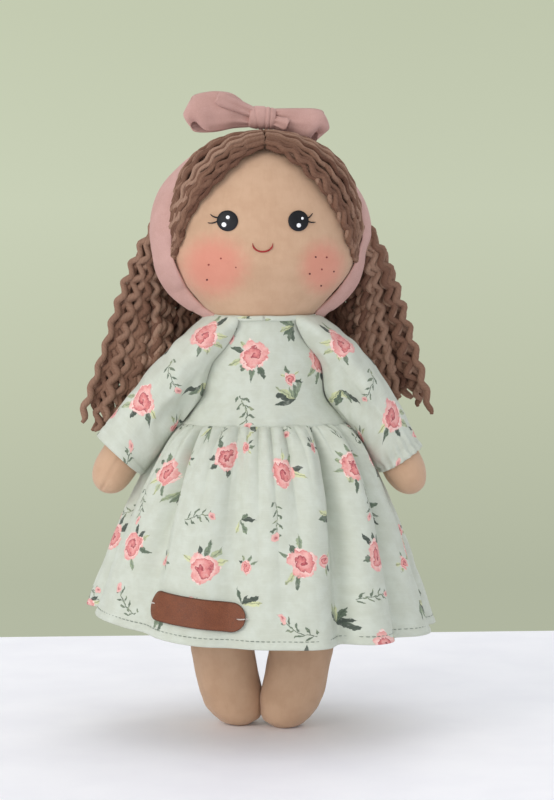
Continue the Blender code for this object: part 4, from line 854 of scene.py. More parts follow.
def rounded(t, power):
    """(1 - t^p)^(1/p): 1 where t is 0, and down ever faster to 0 where t is 1."""
    return (1 - t**power) ** (1 / power)


def rounded_end(distance, length, power):
    """Share of the full radius near a rounded tip, which starts a length before it."""
    return rounded(np.clip(1 - distance / length, 0, 1), power)


def head_half(z):
    """(half width, half depth) of the head at a height.

    Above its widest level the share is (1 - up^p)^(1/p); below it a power of a cosine, down to the neck.
    """
    up = np.clip((z - WIDEST_Z) / (CROWN_Z - WIDEST_Z), 0, 1)
    down = np.clip((WIDEST_Z - z) / (WIDEST_Z - HEAD_BASE_Z), 0, 1)
    below = np.cos(down * math.pi / 2).clip(0) ** CHIN_POWER
    full = np.where(z >= WIDEST_Z, rounded(up, CROWN_POWER), below)
    neck = np.where(z >= WIDEST_Z, 0, 0.5)
    return mix(neck * NECK_WIDTH, HEAD_WIDTH / 2, full), mix(neck * NECK_DEPTH, HEAD_DEPTH / 2, full)


def head_field(points):
    """Below zero inside the head, above zero outside."""
    x, y, z = points[..., 0], points[..., 1], points[..., 2]
    up = np.clip((z - WIDEST_Z) / (CROWN_Z - WIDEST_Z), 0, None)
    above = np.hypot(x / HEAD_WIDTH * 2, y / HEAD_DEPTH * 2) ** CROWN_POWER + up**CROWN_POWER - 1
    half_x, half_y = head_half(np.minimum(z, WIDEST_Z))
    return np.where(z >= WIDEST_Z, above, (x / half_x) ** 2 + (y / half_y) ** 2 - 1)


def on_head(direction, lift):
    """Points where rays from the head's centre leave its skin, found by halving, lifted off it."""
    ray = unit(direction)
    near = np.zeros(ray.shape[:-1])
    far = np.full(ray.shape[:-1], HEAD_HEIGHT + HEAD_WIDTH)
    for _ in range(30):
        middle = (near + far) / 2
        points = HEAD_CENTRE + ray * middle[..., None]
        outside = (head_field(points) > 0) | (points[..., 2] < HEAD_BASE_Z)
        near, far = np.where(outside, near, middle), np.where(outside, middle, far)
    points = HEAD_CENTRE + ray * near[..., None]
    probe = 0.0003
    slope = [head_field(points + probe * axis) - head_field(points - probe * axis) for axis in np.eye(3)]
    return points + unit(np.stack(slope, -1)) * np.asarray(lift)[..., None]


def on_face(x, z, lift):
    """Points on the front of the head, seen from straight ahead."""
    half_x, half_y = head_half(z)
    y = -half_y * np.sqrt(np.clip(1 - (x / half_x) ** 2, 0, 1))
    return on_head(xyz(x, y, z - HEAD_CENTRE[2]), lift + 0 * y)


def head_grid():
    """Rings up the head, with the stuffing's slight unevenness."""
    low = WIDEST_Z - (WIDEST_Z - HEAD_BASE_Z) * np.linspace(1, 0, 26)[:-1]
    rise = np.linspace(0, math.radians(89), 36)
    high = WIDEST_Z + (CROWN_Z - WIDEST_Z) * np.sin(rise) ** (2 / CROWN_POWER)
    z = np.concatenate([low, high])[:, None]
    grid = at_height(ellipse(*head_half(z), round_turns(96)), z)
    return pushed(grid, ripple(grid, 0.035, 4) * 0.00025)


def trunk_grid():
    """Rings up the trunk: a wedge at the hip seam, full at the waist, narrow at shoulders and neck."""
    rise = np.linspace(TRUNK_RISES[0], TRUNK_RISES[-1], 48)[:, None]
    half = [np.interp(rise, TRUNK_RISES, values) for values in (TRUNK_HALF_WIDTHS, TRUNK_HALF_DEPTHS)]
    return at_height(ellipse(*half, round_turns(64)), HIP_Z + rise)


def leg_grid(side):
    """Rings down one leg, from the flat seam to the toe, with a fine groove where its halves are sewn.

    Its inner face is pressed flat where it would pass far beyond the doll's middle.
    """
    top = HIP_Z - 0.0034
    z = np.concatenate([np.linspace(top, LEG_END, 36)[:-1], LEG_END * np.linspace(1, 0, 26) ** 1.8])[:, None]
    drop = HIP_Z - z
    full = LEG_DEPTH / 2 / math.tan(LEG_WEDGE)
    half_x = mix(LEG_TOP_WIDTH, LEG_WIDTH, smooth(drop / full)) / 2 * rounded_end(z + 0.0005, LEG_END, 2.5)
    half_y = np.clip(drop * math.tan(LEG_WEDGE), 0.0016, LEG_DEPTH / 2)
    half_y = half_y * rounded_end(z + 0.0005, LEG_END, 3.6)
    inseam = LEG_WIDTH * np.interp(z / HIP_Z, LEG_HEIGHT_SHARES, LEG_INSEAM_SHARES)
    shift = (STANCE_BACK - side * STANCE_STEP) * smooth(drop / HIP_Z)
    turn = round_turns(72)
    middle = np.stack([side * (half_x + inseam), shift], -1)
    grid = at_height(ellipse(half_x, half_y, turn) + middle, z)
    crease = bell(turn_from(turn, side * LEG_SEAM_TURN) * half_x / 0.0009) * smooth(z / 0.004)
    soft = ripple(grid, 0.022, 11 + side) * 0.0004 * smooth(z / 0.012)
    grid = pushed(grid, soft - 0.0005 * crease)
    past = np.clip((-LEG_OVERLAP * side - grid[..., 0]) * side, 0, None)
    grid[..., 0] += side * past * LEG_PRESS
    grid[..., 2] = np.maximum(grid[..., 2], 0)
    return grid


def arm_frames(side, shares):
    """Centres and angles from straight down along an arm that leaves the shoulder sideways and bends down."""
    steps = np.linspace(0, 1, 161)
    end = ARM_END_ANGLES[side]
    angle = end + (ARM_TOP_ANGLE - end) * (1 - steps) ** 3
    run = ARM_LENGTH / (len(steps) - 1)
    x = SHOULDER[0] + summed(np.sin(angle[1:]) * run)
    z = SHOULDER[2] - summed(np.cos(angle[1:]) * run)
    centre = xyz(side * np.interp(shares, steps, x), SHOULDER[1], np.interp(shares, steps, z))
    return centre, np.interp(shares, steps, angle)


def arm_grid(side):
    """Rings along one arm, with the seam of its two halves pressed in along it."""
    tip = 1 - ARM_END / ARM_LENGTH * np.linspace(1.05, 0.0, 26) ** 1.7
    shares = np.minimum(np.concatenate([np.linspace(0.045, 0.8, 34)[:-1], tip]), 1 - 1e-4)
    centre, angle = arm_frames(side, shares)
    turned = angle + (math.pi / 2 - angle) * (1 - smooth(shares / 0.2))
    across = xyz(side * np.cos(turned), 0, np.sin(turned))[:, None]
    half = mix(ARM_TOP_WIDTH, ARM_WIDTH, smooth(shares / 0.45)) / 2
    half = (half * rounded_end((1 - shares) * ARM_LENGTH, ARM_END, 2.1))[:, None]
    turn = round_turns(56)
    grid = centre[:, None] + (half * np.cos(turn))[..., None] * across
    grid = grid + (half * np.sin(turn))[..., None] * FRONT
    crease = bell(turn_from(turn, ARM_SEAM_TURNS[side]) * half / 0.0008)
    soft = ripple(grid, 0.016, 21 + side) * 0.0003
    return pushed(grid, (soft - 0.0012 * crease) * smooth((1 - shares) / 0.03)[:, None])


# Hair


def side_direction(angle, side, forward):
    """Directions from the head's centre at an angle in degrees from straight up, towards one side."""
    turn = np.radians(angle)
    return xyz(side * np.sin(turn) * HEAD_WIDTH / 2, forward, np.cos(turn) * HEAD_HEIGHT / 2)


def band_forward(angle, side):
    """How far behind the head's centre the headband runs, minus being in front."""
    x = side * np.sin(np.radians(angle)) * HEAD_WIDTH / 2
    return follow(BAND_PATH_ANGLES, BAND_PATH_SHARES, angle) * HEAD_DEPTH + x * BAND_TURN_SHARE


def crimp(paths, outward, height, wavelength, phase, coil, seed, first=0):
    """Adds the crimp of yarn that was wound wet: sideways sines whose height and phase wander.

    The sine is barely pointed by its third harmonic. A cosine of a coil share of its height lifts the
    strand in and out. Waves are counted from the first step given, so that neighbours keep together.
    """
    rng = np.random.default_rng(seed)
    count = len(paths)
    side = unit(np.cross(unit(np.gradient(paths, axis=1)), outward))
    run = summed(lengths(paths))
    run = run - np.take_along_axis(run, np.broadcast_to(first, (count,))[:, None], 1)
    stretch = rng.uniform(0.94, 1.06, (count, 1))
    angle = FULL * run / wavelength * stretch + phase
    wander = rng.uniform(0, FULL, (2, count, 1))
    gain = height * (1 + 0.35 * np.sin(run / 0.031 + wander[0]))
    wave = np.sin(angle) - 0.03 * np.sin(3 * angle)
    drift = 0.0011 * np.sin(run / 0.023 + wander[1]) * smooth(np.abs(run) / 0.05)
    lift = coil * gain * np.cos(angle)
    return paths + side * (gain * wave + drift)[..., None] + outward * lift[..., None]


def front_hair(side, sizes):
    """Strands from the parting down the side of the face, tucked under the headband.

    Each keeps its share of the way from the hairline to the band. The upper layer lies in the lower
    one's gaps and puffs up before the band, which presses both layers down.
    """
    radius = sizes.yarn_diameter * 0.38
    rng = np.random.default_rng(60 + side)
    angle = np.linspace(0.2, 105, 90)
    front = -follow(HAIR_LINE_ANGLES, HAIR_LINE_SHARES, angle) * HEAD_DEPTH
    back = band_forward(angle, side)
    high = smooth((77 - angle) / 34)
    paths, outward, gains, phases = [], [], [], []
    for count, first, last, centre, puff in FRONT_LAYERS:
        for share in np.linspace(first, last, count):
            wander = 0.0009 * np.sin(angle / 24 + rng.uniform(0, 6.28)) * smooth(angle / 30)
            direction = side_direction(angle, side, mix(front, back, share) + wander)
            swell = np.sin(math.pi * np.clip(share * 1.25, 0, 1)) * smooth((100 - angle) / 40)
            near_band = smooth((share - 0.72) / 0.2) * (1 - high)
            pressed = mix(centre + puff * swell, min(centre, 0.0030), near_band) + 0.0024 * high
            lift = mix(pressed, radius * 0.8, smooth((angle - 84) / 14))
            point = on_head(direction, lift)
            point[:, 0] = side * np.maximum(side * point[:, 0], radius * rng.uniform(0.1, 1.1))
            away = on_head(direction, 0.01 + 0 * angle) - on_head(direction, 0 * angle)
            paths.append(resample(point, 84))
            outward.append(resample(unit(away), 84))
            gains.append(rng.uniform(0.75, 1.2))
            phases.append(3.4 * share + 2.0 * (puff > 0) + rng.normal(0, 0.5))
    paths, outward = np.array(paths), unit(np.array(outward))
    steps = np.linspace(0, 1, paths.shape[1])
    gain = sizes.crimp_height * 0.62 * np.array(gains)[:, None] * smooth(steps / 0.15)
    gain = gain * (1 - 0.4 * smooth((steps - 0.85) / 0.15))
    paths = crimp(paths, outward, gain, sizes.crimp_length * 0.9, np.array(phases)[:, None], 0.3, 70 + side)
    return paths, outward, radius * np.ones(paths.shape[:2])


def hanging_point(turn, z, depth):
    """The free hair at a turn from straight back: it spreads outwards as it drops.

    depth is 0 on its inner side and 1 on its outer side. It steps back behind the shoulders.
    """
    rise = z - HEAD_BASE_Z
    drop = np.clip((HAIR_RISES[-1] - rise) / (HAIR_RISES[-1] - HAIR_RISES[0]), 0, 1)
    thick = mix(0.0045, mix(0.0120, 0.0400, np.sin(turn) ** 2), smooth(drop / 0.8))
    inset = thick * (1 - depth)
    setback = 0.0190 * smooth((drop - 0.15) / 0.4)
    x = (np.interp(rise, HAIR_RISES, HAIR_HALF_WIDTHS) - inset) * np.sin(turn)
    y = np.interp(rise, HAIR_RISES, HAIR_BACK_REACHES) - HAIR_SPLIT - setback - inset
    return xyz(x, HAIR_SPLIT + setback + y * np.cos(turn), z)


def crown_point(turn, rise, lift):
    """A point over the back of the head at a turn from straight back and an angle above its widest.

    The ray at that turn starts a split behind the centre, and meets the head's ellipse at the root of
    a x^2 + b x + c.
    """
    z = WIDEST_Z + (CROWN_Z - WIDEST_Z) * np.sin(rise) ** (2 / CROWN_POWER)
    half_x, half_y = head_half(z)
    a = (np.sin(turn) / half_x) ** 2 + (np.cos(turn) / half_y) ** 2
    b = 2 * HAIR_SPLIT * np.cos(turn) / half_y**2
    c = (HAIR_SPLIT / half_y) ** 2 - 1
    reach = (np.sqrt(b * b - 4 * a * c) - b) / (2 * a)
    point = on_head(xyz(reach * np.sin(turn), HAIR_SPLIT + reach * np.cos(turn), z - HEAD_CENTRE[2]), lift)
    point[..., 1] = np.maximum(point[..., 1], HAIR_SPLIT)
    return point


def back_hair(turns, depths, tip, seed, sizes):
    """Strands from the parting over the back of the head, hanging free down to their tips.

    On the head a strand starts on the parting, the further back the straighter it falls, and turns
    outwards as it comes down. Inner layers start lower, under the outer one. Below the band it follows
    the hanging outline. Its crimp grows from a third on the head to full where it hangs.
    """
    rng = np.random.default_rng(seed)
    radius = sizes.yarn_diameter / 2
    steps = 160
    release = HEAD_BASE_Z + HAIR_RISES[-1]
    low = math.asin(((release - WIDEST_Z) / (CROWN_Z - WIDEST_Z)) ** (CROWN_POWER / 2))
    paths, outward, waves, phases = [], [], [], []
    for layer, depth in enumerate(depths):
        for base_turn in turns + (layer % 2) * (turns[1] - turns[0]) / 2:
            turn = np.clip(base_turn + rng.normal(0, 0.012), -1.62, 1.62)
            top = math.radians(84 - 26 * (1 - min(abs(turn) / 1.57, 1)) if layer == 0 else 62)
            rise = np.linspace(top, low, 26)
            progress = (top - rise) / (top - low)
            opened = smooth(0.10 + 0.95 * progress**0.8) if layer == 0 else 1 + 0 * progress
            lift = 0.0006 + radius * mix(0.75, 1.3 - 0.45 * min(layer, 1), smooth(progress * 2))
            on_top = crown_point(turn * opened, rise, lift)
            end = tip + rng.uniform(-0.011, 0.011) + 0.004 * layer
            z = np.linspace(release, end, 60)[6:]
            sway = np.sin((release - z) * 30 + rng.uniform(0, 6.28)) * smooth((release - z) / 0.06)
            free = hanging_point(turn + 0.02 * sway, z, depth + rng.normal(0, 0.03))
            line = np.concatenate([on_top, free])
            flare = np.stack([np.sin(turn), np.cos(turn), 0.0])
            spread = rng.normal(0, 0.0016) * smooth(np.linspace(-0.6, 1, len(line)))
            paths.append(resample(line + flare * spread[:, None], steps))
            facing = unit(flare * 0.5 + np.array([0.0, mix(1, -1, abs(turn) > 0.79), 0.0]))
            away = np.concatenate([unit(on_top - HEAD_CENTRE), np.broadcast_to(facing, free.shape)])
            at = np.linspace(0, len(line) - 1, steps)
            outward.append(np.stack([np.interp(at, np.arange(len(line)), away[:, k]) for k in range(3)], -1))
            waves.append(rng.uniform(0.85, 1.15))
            phases.append(0.5 * np.sin(6 * turn + 1.3 * layer) + rng.normal(0, 0.8))
    paths, outward = np.array(paths), unit(np.array(outward))
    z = paths[..., 2]
    gain = mix(0.30, 1.0, smooth((release + 0.004 - z) / 0.035)) * np.array(waves)[:, None]
    phase = np.array(phases)[:, None]
    length = sizes.crimp_length * 0.93
    first = (z < release).argmax(1)
    paths = crimp(paths, outward, gain * sizes.crimp_height, length, phase, 0.25, seed + 1, first)
    t = np.linspace(0, 1, steps)
    fat = 1 + 0.10 * np.sin(t * 23 + phase * 5)
    full = radius * fat * mix(0.72, 1, smooth((CROWN_Z - z) / 0.018)) * mix(0.55, 1, smooth((1 - t) * 60))
    return paths, outward, full


# Dress


def bodice_half(z):
    """(half width, half depth) of the bodice's inner side: the trunk, or the head above it, with ease."""
    trunk_x = np.interp(z - HIP_Z, BODICE_WIDTH_RISES, BODICE_HALF_WIDTHS)
    trunk_y = np.interp(z - HIP_Z, BODICE_DEPTH_RISES, BODICE_HALF_DEPTHS)
    head_x, head_y = head_half(z)
    above = z > HEAD_BASE_Z - 0.0013
    ease = mix(0.0012, 0.0042, smooth((CHEST_Z - z) / (CHEST_Z - WAIST_Z)))
    near_x = np.where(above, np.maximum(head_x, NECK_WIDTH / 2), trunk_x)
    near_y = np.where(above, np.maximum(head_y, NECK_DEPTH / 2), trunk_y)
    return near_x + ease, near_y + ease


def bodice_surface(turn, z, lift):
    """A point on the bodice at a turn and a height."""
    half_x, half_y = bodice_half(z)
    return at_height(ellipse(half_x + lift, half_y + lift, turn), z)


def bodice_grid():
    """Rings down the bodice, drawn in at the waist seam, with a lapped opening down the back."""
    z = np.linspace(NECKLINE_Z + 0.0008, WAIST_Z - 0.0012, 46)[:, None]
    turn = math.pi + round_turns(168)
    grid = bodice_surface(turn, z, DRESS_CLOTH)
    folds = ripple(grid * [1, 1, 0.45], 0.017, 31) * 0.0012 * smooth((0.220 - z) / 0.026)
    seam = 0.0015 * bell((z - WAIST_Z) / 0.0014)
    behind = np.sin(turn)
    lap = 0.0007 * smooth((behind + 0.03) / 0.05) * (np.cos(turn) < 0) * smooth((0.14 - behind) / 0.04)
    return pushed(grid, folds + seam + lap)


def hem_height(turn):
    """The hem hangs level but for the doll's right side, where it rides up."""
    return HEM_Z - 0.0012 + 0.0135 * np.clip(-np.sin(turn), 0, 1) ** 2.5


def skirt_folds(turn, down, gathers):
    """How far the skirt stands out from its plain flare.

    Broad folds are bell curves of the turn, each with its own course. Small gathers are a low power of a
    squared cosine, round outside and sharp inside, and die out below the waist seam.
    """
    off = 0 * turn + 0 * down
    for at_waist, at_hem, width, share, hem_share in FOLDS:
        middle = np.radians(mix(at_waist, at_hem, smooth(down)))
        groove = 1 if share > 0 else GROOVE_SHARE
        wide = math.radians(width) * groove * mix(0.5, 1, smooth(down * 1.3))
        high = FOLD_DEPTH * mix(share, hem_share, down) * smooth(down / 0.14 + 0.2) / groove**0.6
        off = off + high * bell(turn_from(turn, middle) / wide)
    phase = gathers * turn + 1.6 * np.sin(5 * turn) + 0.8 * np.sin(11 * turn + 2)
    strong = 0.58 + 0.42 * np.sin(7 * turn + 1) * np.sin(3 * turn + 0.6)
    crest = 2.2 * (np.cos(phase / 2) ** 2 + 0.008) ** 0.30 - 1.5
    fade = np.exp(-down / mix(0.07, 0.30, strong**1.5)) * mix(0.55, 1, smooth(down / 0.03))
    faint = np.cos(phase / 2 + 2 * np.sin(3 * turn)) * np.exp(-down / 0.45) * smooth(down / 0.03)
    return off + GATHER_DEPTH * strong * crest * fade + 0.0007 * faint


def skirt_surface(turn, down, lift, gathers):
    """A point of the skirt at a turn and a share of the way from its waist to its hem.

    Its half width and half depth grow as a power of the way down, more slowly under the arms.
    """
    z = mix(SKIRT_TOP_Z, hem_height(turn), down)
    flare = down ** mix(SKIRT_FLARE, SKIRT_SIDE_FLARE, np.abs(np.sin(turn)) ** 6)
    off = skirt_folds(turn, down, gathers) + lift
    waist_x, waist_y = bodice_half(WAIST_Z)
    half_x = mix(waist_x - WAIST_TUCK, SKIRT_HALF_WIDTH, flare) + off
    half_y = mix(waist_y - WAIST_TUCK, SKIRT_HALF_DEPTH, flare) + off
    return at_height(ellipse(half_x, half_y, turn), z)


def skirt_grid(sizes):
    """Rings down the skirt, closer at the gathers, ending in a turned and stitched hem, and their UV.

    The cloth's width runs round evenly at the hem. Higher up, the slope of the folds is added to it, so
    that crests show the print at its true size and the rest of the cloth goes into the grooves.
    """
    down = np.concatenate([np.linspace(0, 0.24, 30)[:-1], np.linspace(0.24, 1, 50)])[:, None]
    turn = (math.pi + round_turns(840))[None, :]
    grid = skirt_surface(turn, down, DRESS_CLOTH, sizes.gathers)
    from_stitches = down - 1 + sizes.hem_depth / (WAIST_Z - HEM_Z)
    hem = 0.0004 * smooth(from_stitches / 0.012) - 0.0004 * bell(from_stitches / 0.006)
    grid = pushed(grid, hem + ripple(grid, 0.024, 41) * 0.0005 * smooth(down * 3))
    off = skirt_folds(turn, down, sizes.gathers)
    slope = np.roll(off, -1, 1) - np.roll(off, 1, 1)
    bend = np.abs(np.roll(slope, -1, 1) - np.roll(slope, 1, 1)).max(1, keepdims=True) / 2
    even = sizes.skirt_flat_width / turn.size
    slope = slope / bend * even * 0.62 * (1 - smooth(down / 0.9))
    u = even * np.arange(turn.size + 1)[None, :] + np.concatenate([slope, slope[:, :1]], 1)
    v = summed(np.linalg.norm(np.diff(grid, axis=0), axis=2).mean(1))[:, None]
    return grid, np.stack(np.broadcast_arrays(u, v / v[-1] * sizes.skirt_flat_length), -1)


def neck_grid():
    """A rolled edge round the neckline: each ring a tall ellipse across it, and its height wanders."""
    z = NECKLINE_Z + 0.0010
    turn = round_turns(120)
    flat = ellipse(*(float(half) + 0.0019 for half in head_half(z)), turn)
    path = at_height(flat, z + 0.0004 * ripple(np.c_[flat, flat[:, :1]], 0.02, 71))
    rim = round_turns(12)[:, None]
    return path[:, None] + 0.0011 * (np.cos(rim) * at_height(unit(flat), 0)[:, None] + 1.5 * np.sin(rim) * UP)


def seam_ring(side, count):
    """The raglan seam round one sleeve's top: up the front, along the neckline and down the back."""
    turn = np.radians((90, *SEAM_FRONT_TURNS[side], *SEAM_REST_TURNS))
    ring = bodice_surface(turn, np.array(SEAM_LEVELS), DRESS_CLOTH + 0.0010) * (side, 1, 1)
    knots = np.arange(len(ring))
    fine = np.linspace(0, len(ring) - 1, 200)
    dense = np.stack([follow(knots, ring[:, k], fine) for k in range(3)], -1)
    return resample(dense, count + 1)[:-1]


def axis_uv(grid, axis):
    """UV in metres for cloth round a limb: the way along its axis, and the rest of each step round it.

    It starts on the column opposite the first, so that the join lies on the first, as a sleeve's does.
    """
    step = np.roll(grid, -1, 1) - grid
    u = summed(np.sqrt(np.clip((step**2).sum(-1) - (step @ axis) ** 2, 0, None)))
    v = grid @ axis
    return np.stack([u - u[:, grid.shape[1] // 2][:, None], np.concatenate([v, v[:, :1]], axis=1)], -1)


def sleeve_grid(side, count=96):
    """Rings from the raglan seam to the cuff: a straight cut tube, bowed where the arm bends.

    Column 0 lies under the arm, and columns run up the front. Soft drag folds start at the armpit.
    """
    share, wide, deep, lean, shift, bow, belly, hang = SLEEVES[side]
    top = seam_ring(side, count)
    centre, angle = arm_frames(side, share)
    angle = float(angle) + lean
    turn = round_turns(count)
    across = np.array([side * math.cos(angle), 0, math.sin(angle)])
    cuff = centre + across * shift - (wide * np.cos(turn))[:, None] * across
    cuff = cuff + (deep * np.sin(turn))[:, None] * FRONT
    way = np.linspace(0, 1, 64)[:, None]
    u = way[..., None]
    grid = mix(top, cuff, u) + bow * np.sin(math.pi * u**0.8) * np.array([side * 0.75, 0, 0.66])
    grid = grid + belly * np.sin(math.pi * u**0.7) * np.sin(turn)[None, :, None] * FRONT
    folds = ripple(grid * [1.3, 1.0, 0.55], 0.017, 51 + side) * 0.0011
    folds = folds * smooth(way * 4) * smooth((1 - way) * 6 + 0.2)
    drag = bell((turn - 0.55 - 1.1 * way) / 0.22) + bell((FULL - turn - 0.6 - 1.3 * way) / 0.22)
    folds = folds - 0.0022 * drag * smooth(way * 5) * smooth((0.75 - way) * 2)
    ridge = bell((turn - 1.25 - 0.7 * way) / 0.3)
    folds = folds + 0.0014 * ridge * smooth(way * 4) * smooth((1 - way) * 2)
    seam = 0.0006 * bell(way / 0.02) + 0.0026 * bell((turn - 0.9) / 0.7) * bell((way - 0.10) / 0.07)
    under = hang * np.clip(np.cos(turn), 0, 1) ** 1.5 * np.sin(math.pi * way) ** 0.8
    hem = 0.0004 * smooth((way - 0.93) / 0.01) - 0.0004 * bell((way - 0.925) / 0.008)
    if side > 0:
        hem = hem + 0.0007 * np.cos(17 * turn) * smooth((way - 0.82) / 0.1)
        hem = hem - 0.0010 * bell((way - 0.95) / 0.02)
    return pushed(grid, folds + seam + under + hem)


def label_point(along, across, lift, gathers):
    """A point of the label, in lengths from its middle, lying over the skirt's front."""
    z = HEM_Z + LABEL_RISE + across * math.cos(LABEL_TILT) - along * math.sin(LABEL_TILT)
    turn = LABEL_TURN + (along * math.cos(LABEL_TILT) + across * math.sin(LABEL_TILT)) / LABEL_REACH
    down = (SKIRT_TOP_Z - z) / (SKIRT_TOP_Z - hem_height(turn))
    return skirt_surface(turn, down, DRESS_CLOTH + lift, gathers)


# Settings


def colour_property(name, code, description):
    look = {"subtype": "COLOR", "size": 4, "min": 0, "max": 1}
    return bpy.props.FloatVectorProperty(name=name, description=description, default=srgb(code), **look)


def length_property(name, value, description):
    look = {"subtype": "DISTANCE", "unit": "LENGTH", "precision": 5, "min": 0}
    return bpy.props.FloatProperty(name=name, description=description, default=value, **look)


class RagDollSizes(bpy.types.PropertyGroup):
    """Sizes that a maker of the doll would choose."""

    yarn_diameter: length_property("Yarn diameter", 0.0043, "Thickness of one strand of the hair's yarn")
    crimp_length: length_property("Crimp length", 0.0145, "Length of one wave of the crimped yarn")
    crimp_height: length_property("Crimp height", 0.0020, "How far a hanging strand waves to each side")
    rose_diameter: length_property("Rose diameter", 0.0225, "Width of the print's large roses")
    print_spacing: length_property("Print spacing", 0.0620, "Distance between the print's large roses")
    hem_depth: length_property("Hem depth", 0.0045, "Height of the hem's stitch line above its edge")
    thread_radius: length_property("Thread radius", 0.0004, "Radius of the sewing thread that shows")
    skirt_flat_width: length_property("Skirt cut width", 0.6500, "Width of the skirt's cloth before gathering")
    skirt_flat_length: length_property("Skirt cut length", 0.1450, "Length of the skirt's cloth, hem included")
    gathers: bpy.props.IntProperty(name="Gathers", description="Small gathers round the waist", default=42, min=8)


class RagDollColours(bpy.types.PropertyGroup):
    """Colours of the cloth, yarn, print and paint."""

    skin: colour_property("Skin", "#CBA98C", "Cotton of the face and limbs")
    skin_shade: colour_property("Skin shade", "#C3A083", "Darker mottle of the skin cotton")
    blush: colour_property("Blush", "#DC7F72", "Airbrushed cheeks")
    yarn: colour_property("Yarn", "#846452", "Main tone of the hair")
    yarn_light: colour_property("Yarn light", "#A1826F", "Pale fibres and pale strands")
    yarn_shade: colour_property("Yarn shade", "#6A4B3D", "Darkest strands")
    ribbon: colour_property("Ribbon", "#C69F96", "Headband and bow")
    ribbon_shade: colour_property("Ribbon shade", "#BC958B", "Darker mottle of the headband")
    dress: colour_property("Dress", "#C5CABB", "Ground of the dress print")
    dress_light: colour_property("Dress light", "#CDD3C6", "Paler mottle of the dress ground")
    rose: colour_property("Rose", "#DC8482", "Middle tone of the roses")
    rose_light: colour_property("Rose light", "#EDB4AD", "Outer petals")
    rose_dark: colour_property("Rose dark", "#B24C57", "Folds of the petals")
    leaf: colour_property("Leaf", "#5E6E5B", "Middle tone of the leaves")
    leather: colour_property("Leather", "#743D24", "Label")
    leather_light: colour_property("Leather light", "#80482D", "Paler patches of the label")
    eyes: colour_property("Eyes", "#14141D", "Painted eyes and lashes")
    glint: colour_property("Glint", "#FAFAFC", "White dots of paint in the eyes")
    mouth: colour_property("Mouth", "#B5322F", "Mouth thread")
    freckle: colour_property("Freckles", "#8A3833", "Painted freckles")
    white_thread: colour_property("White thread", "#E9E2D8", "Label and button stitches")
    sewing_thread: colour_property("Sewing thread", "#8D9A8B", "Hem stitches")


class RagDollStage(bpy.types.PropertyGroup):
    """The table, the wall's colour and the lamps."""

    wall: colour_property("Wall", "#CCD3BA", "Wall behind the table, high up")
    # The low wall's colour holds painted shade
    wall_low_painted_shade: colour_property("Wall low", "#B6BCA5", "Wall behind the table, low down")
    table: colour_property("Table", "#FBFAFE", "Table top")
    key: bpy.props.FloatProperty(name="Key light", description="Power of the main lamp", default=12.0)
    fill: bpy.props.FloatProperty(name="Fill light", description="Power of the second lamp", default=4.6)
    air: bpy.props.FloatProperty(name="Room light", description="Even light from all round", default=0.84)


GROUPS = {"rag_doll_sizes": RagDollSizes, "rag_doll_colours": RagDollColours, "rag_doll_stage": RagDollStage}


def settings():
    return [getattr(bpy.context.scene, name) for name in GROUPS]


def material(name, make, *values):
    """The named material, made once."""
    return bpy.data.materials.get(name) or make(name, *values)


def placed(piece, bodies, slot, *nodes, **bend):
    """The piece rides on one body, or, given a bend, is baked where it stands. The slot is not used. It stands
    for these nodes, which it hides.
    """
    if bend:
        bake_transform(piece)
    else:
        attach(piece, bodies)
    if nodes:
        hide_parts(*nodes)
    return piece


class RAGDOLL_OT_body(bpy.types.Operator):
    """Sews and stuffs the head, trunk, hip seam, arms and legs."""

    bl_idname = "rag_doll.body"
    bl_label = "Head, Trunk and Limbs"

    def stuffed(self, name, grid, cotton, body_name, fill):
        """A sewn skin with its filling."""
        piece = placed(body(name, grid, cotton), body_name, "skin_cotton", name + "_skin", name + "_filling")

    def execute(self, context):
        _, colours, _ = settings()
        skin = material("skin_cotton_sheeting", skin_cloth, colours, False)
        face = material("face_cotton_airbrushed", skin_cloth, colours, True)
        self.stuffed("head", head_grid(), face, "doll", 0.95)
        self.stuffed("trunk", trunk_grid(), skin, "doll", 0.9)
        x = np.linspace(SEAM_LOW[0] + 0.0008, SEAM_HIGH[0] - 0.0008, 60)
        path = xyz(x, 0, HIP_Z)[None]
        radius = 0.0029 * mix(0.5, 1, smooth((0.037 - np.abs(x)) / 0.003))[None]
        roll = tubes("hip_roll", path, np.broadcast_to(FRONT, path.shape), radius, skin, 20)
        placed(roll, "hip_fold", "skin_cotton", "hip_seam")
        for side, label in SIDES:
            self.stuffed("arm_" + label, arm_grid(side), skin, "arm_" + label, 0.85)
            self.stuffed("leg_" + label, leg_grid(side), skin, "leg_" + label, 0.9)
        return {"FINISHED"}


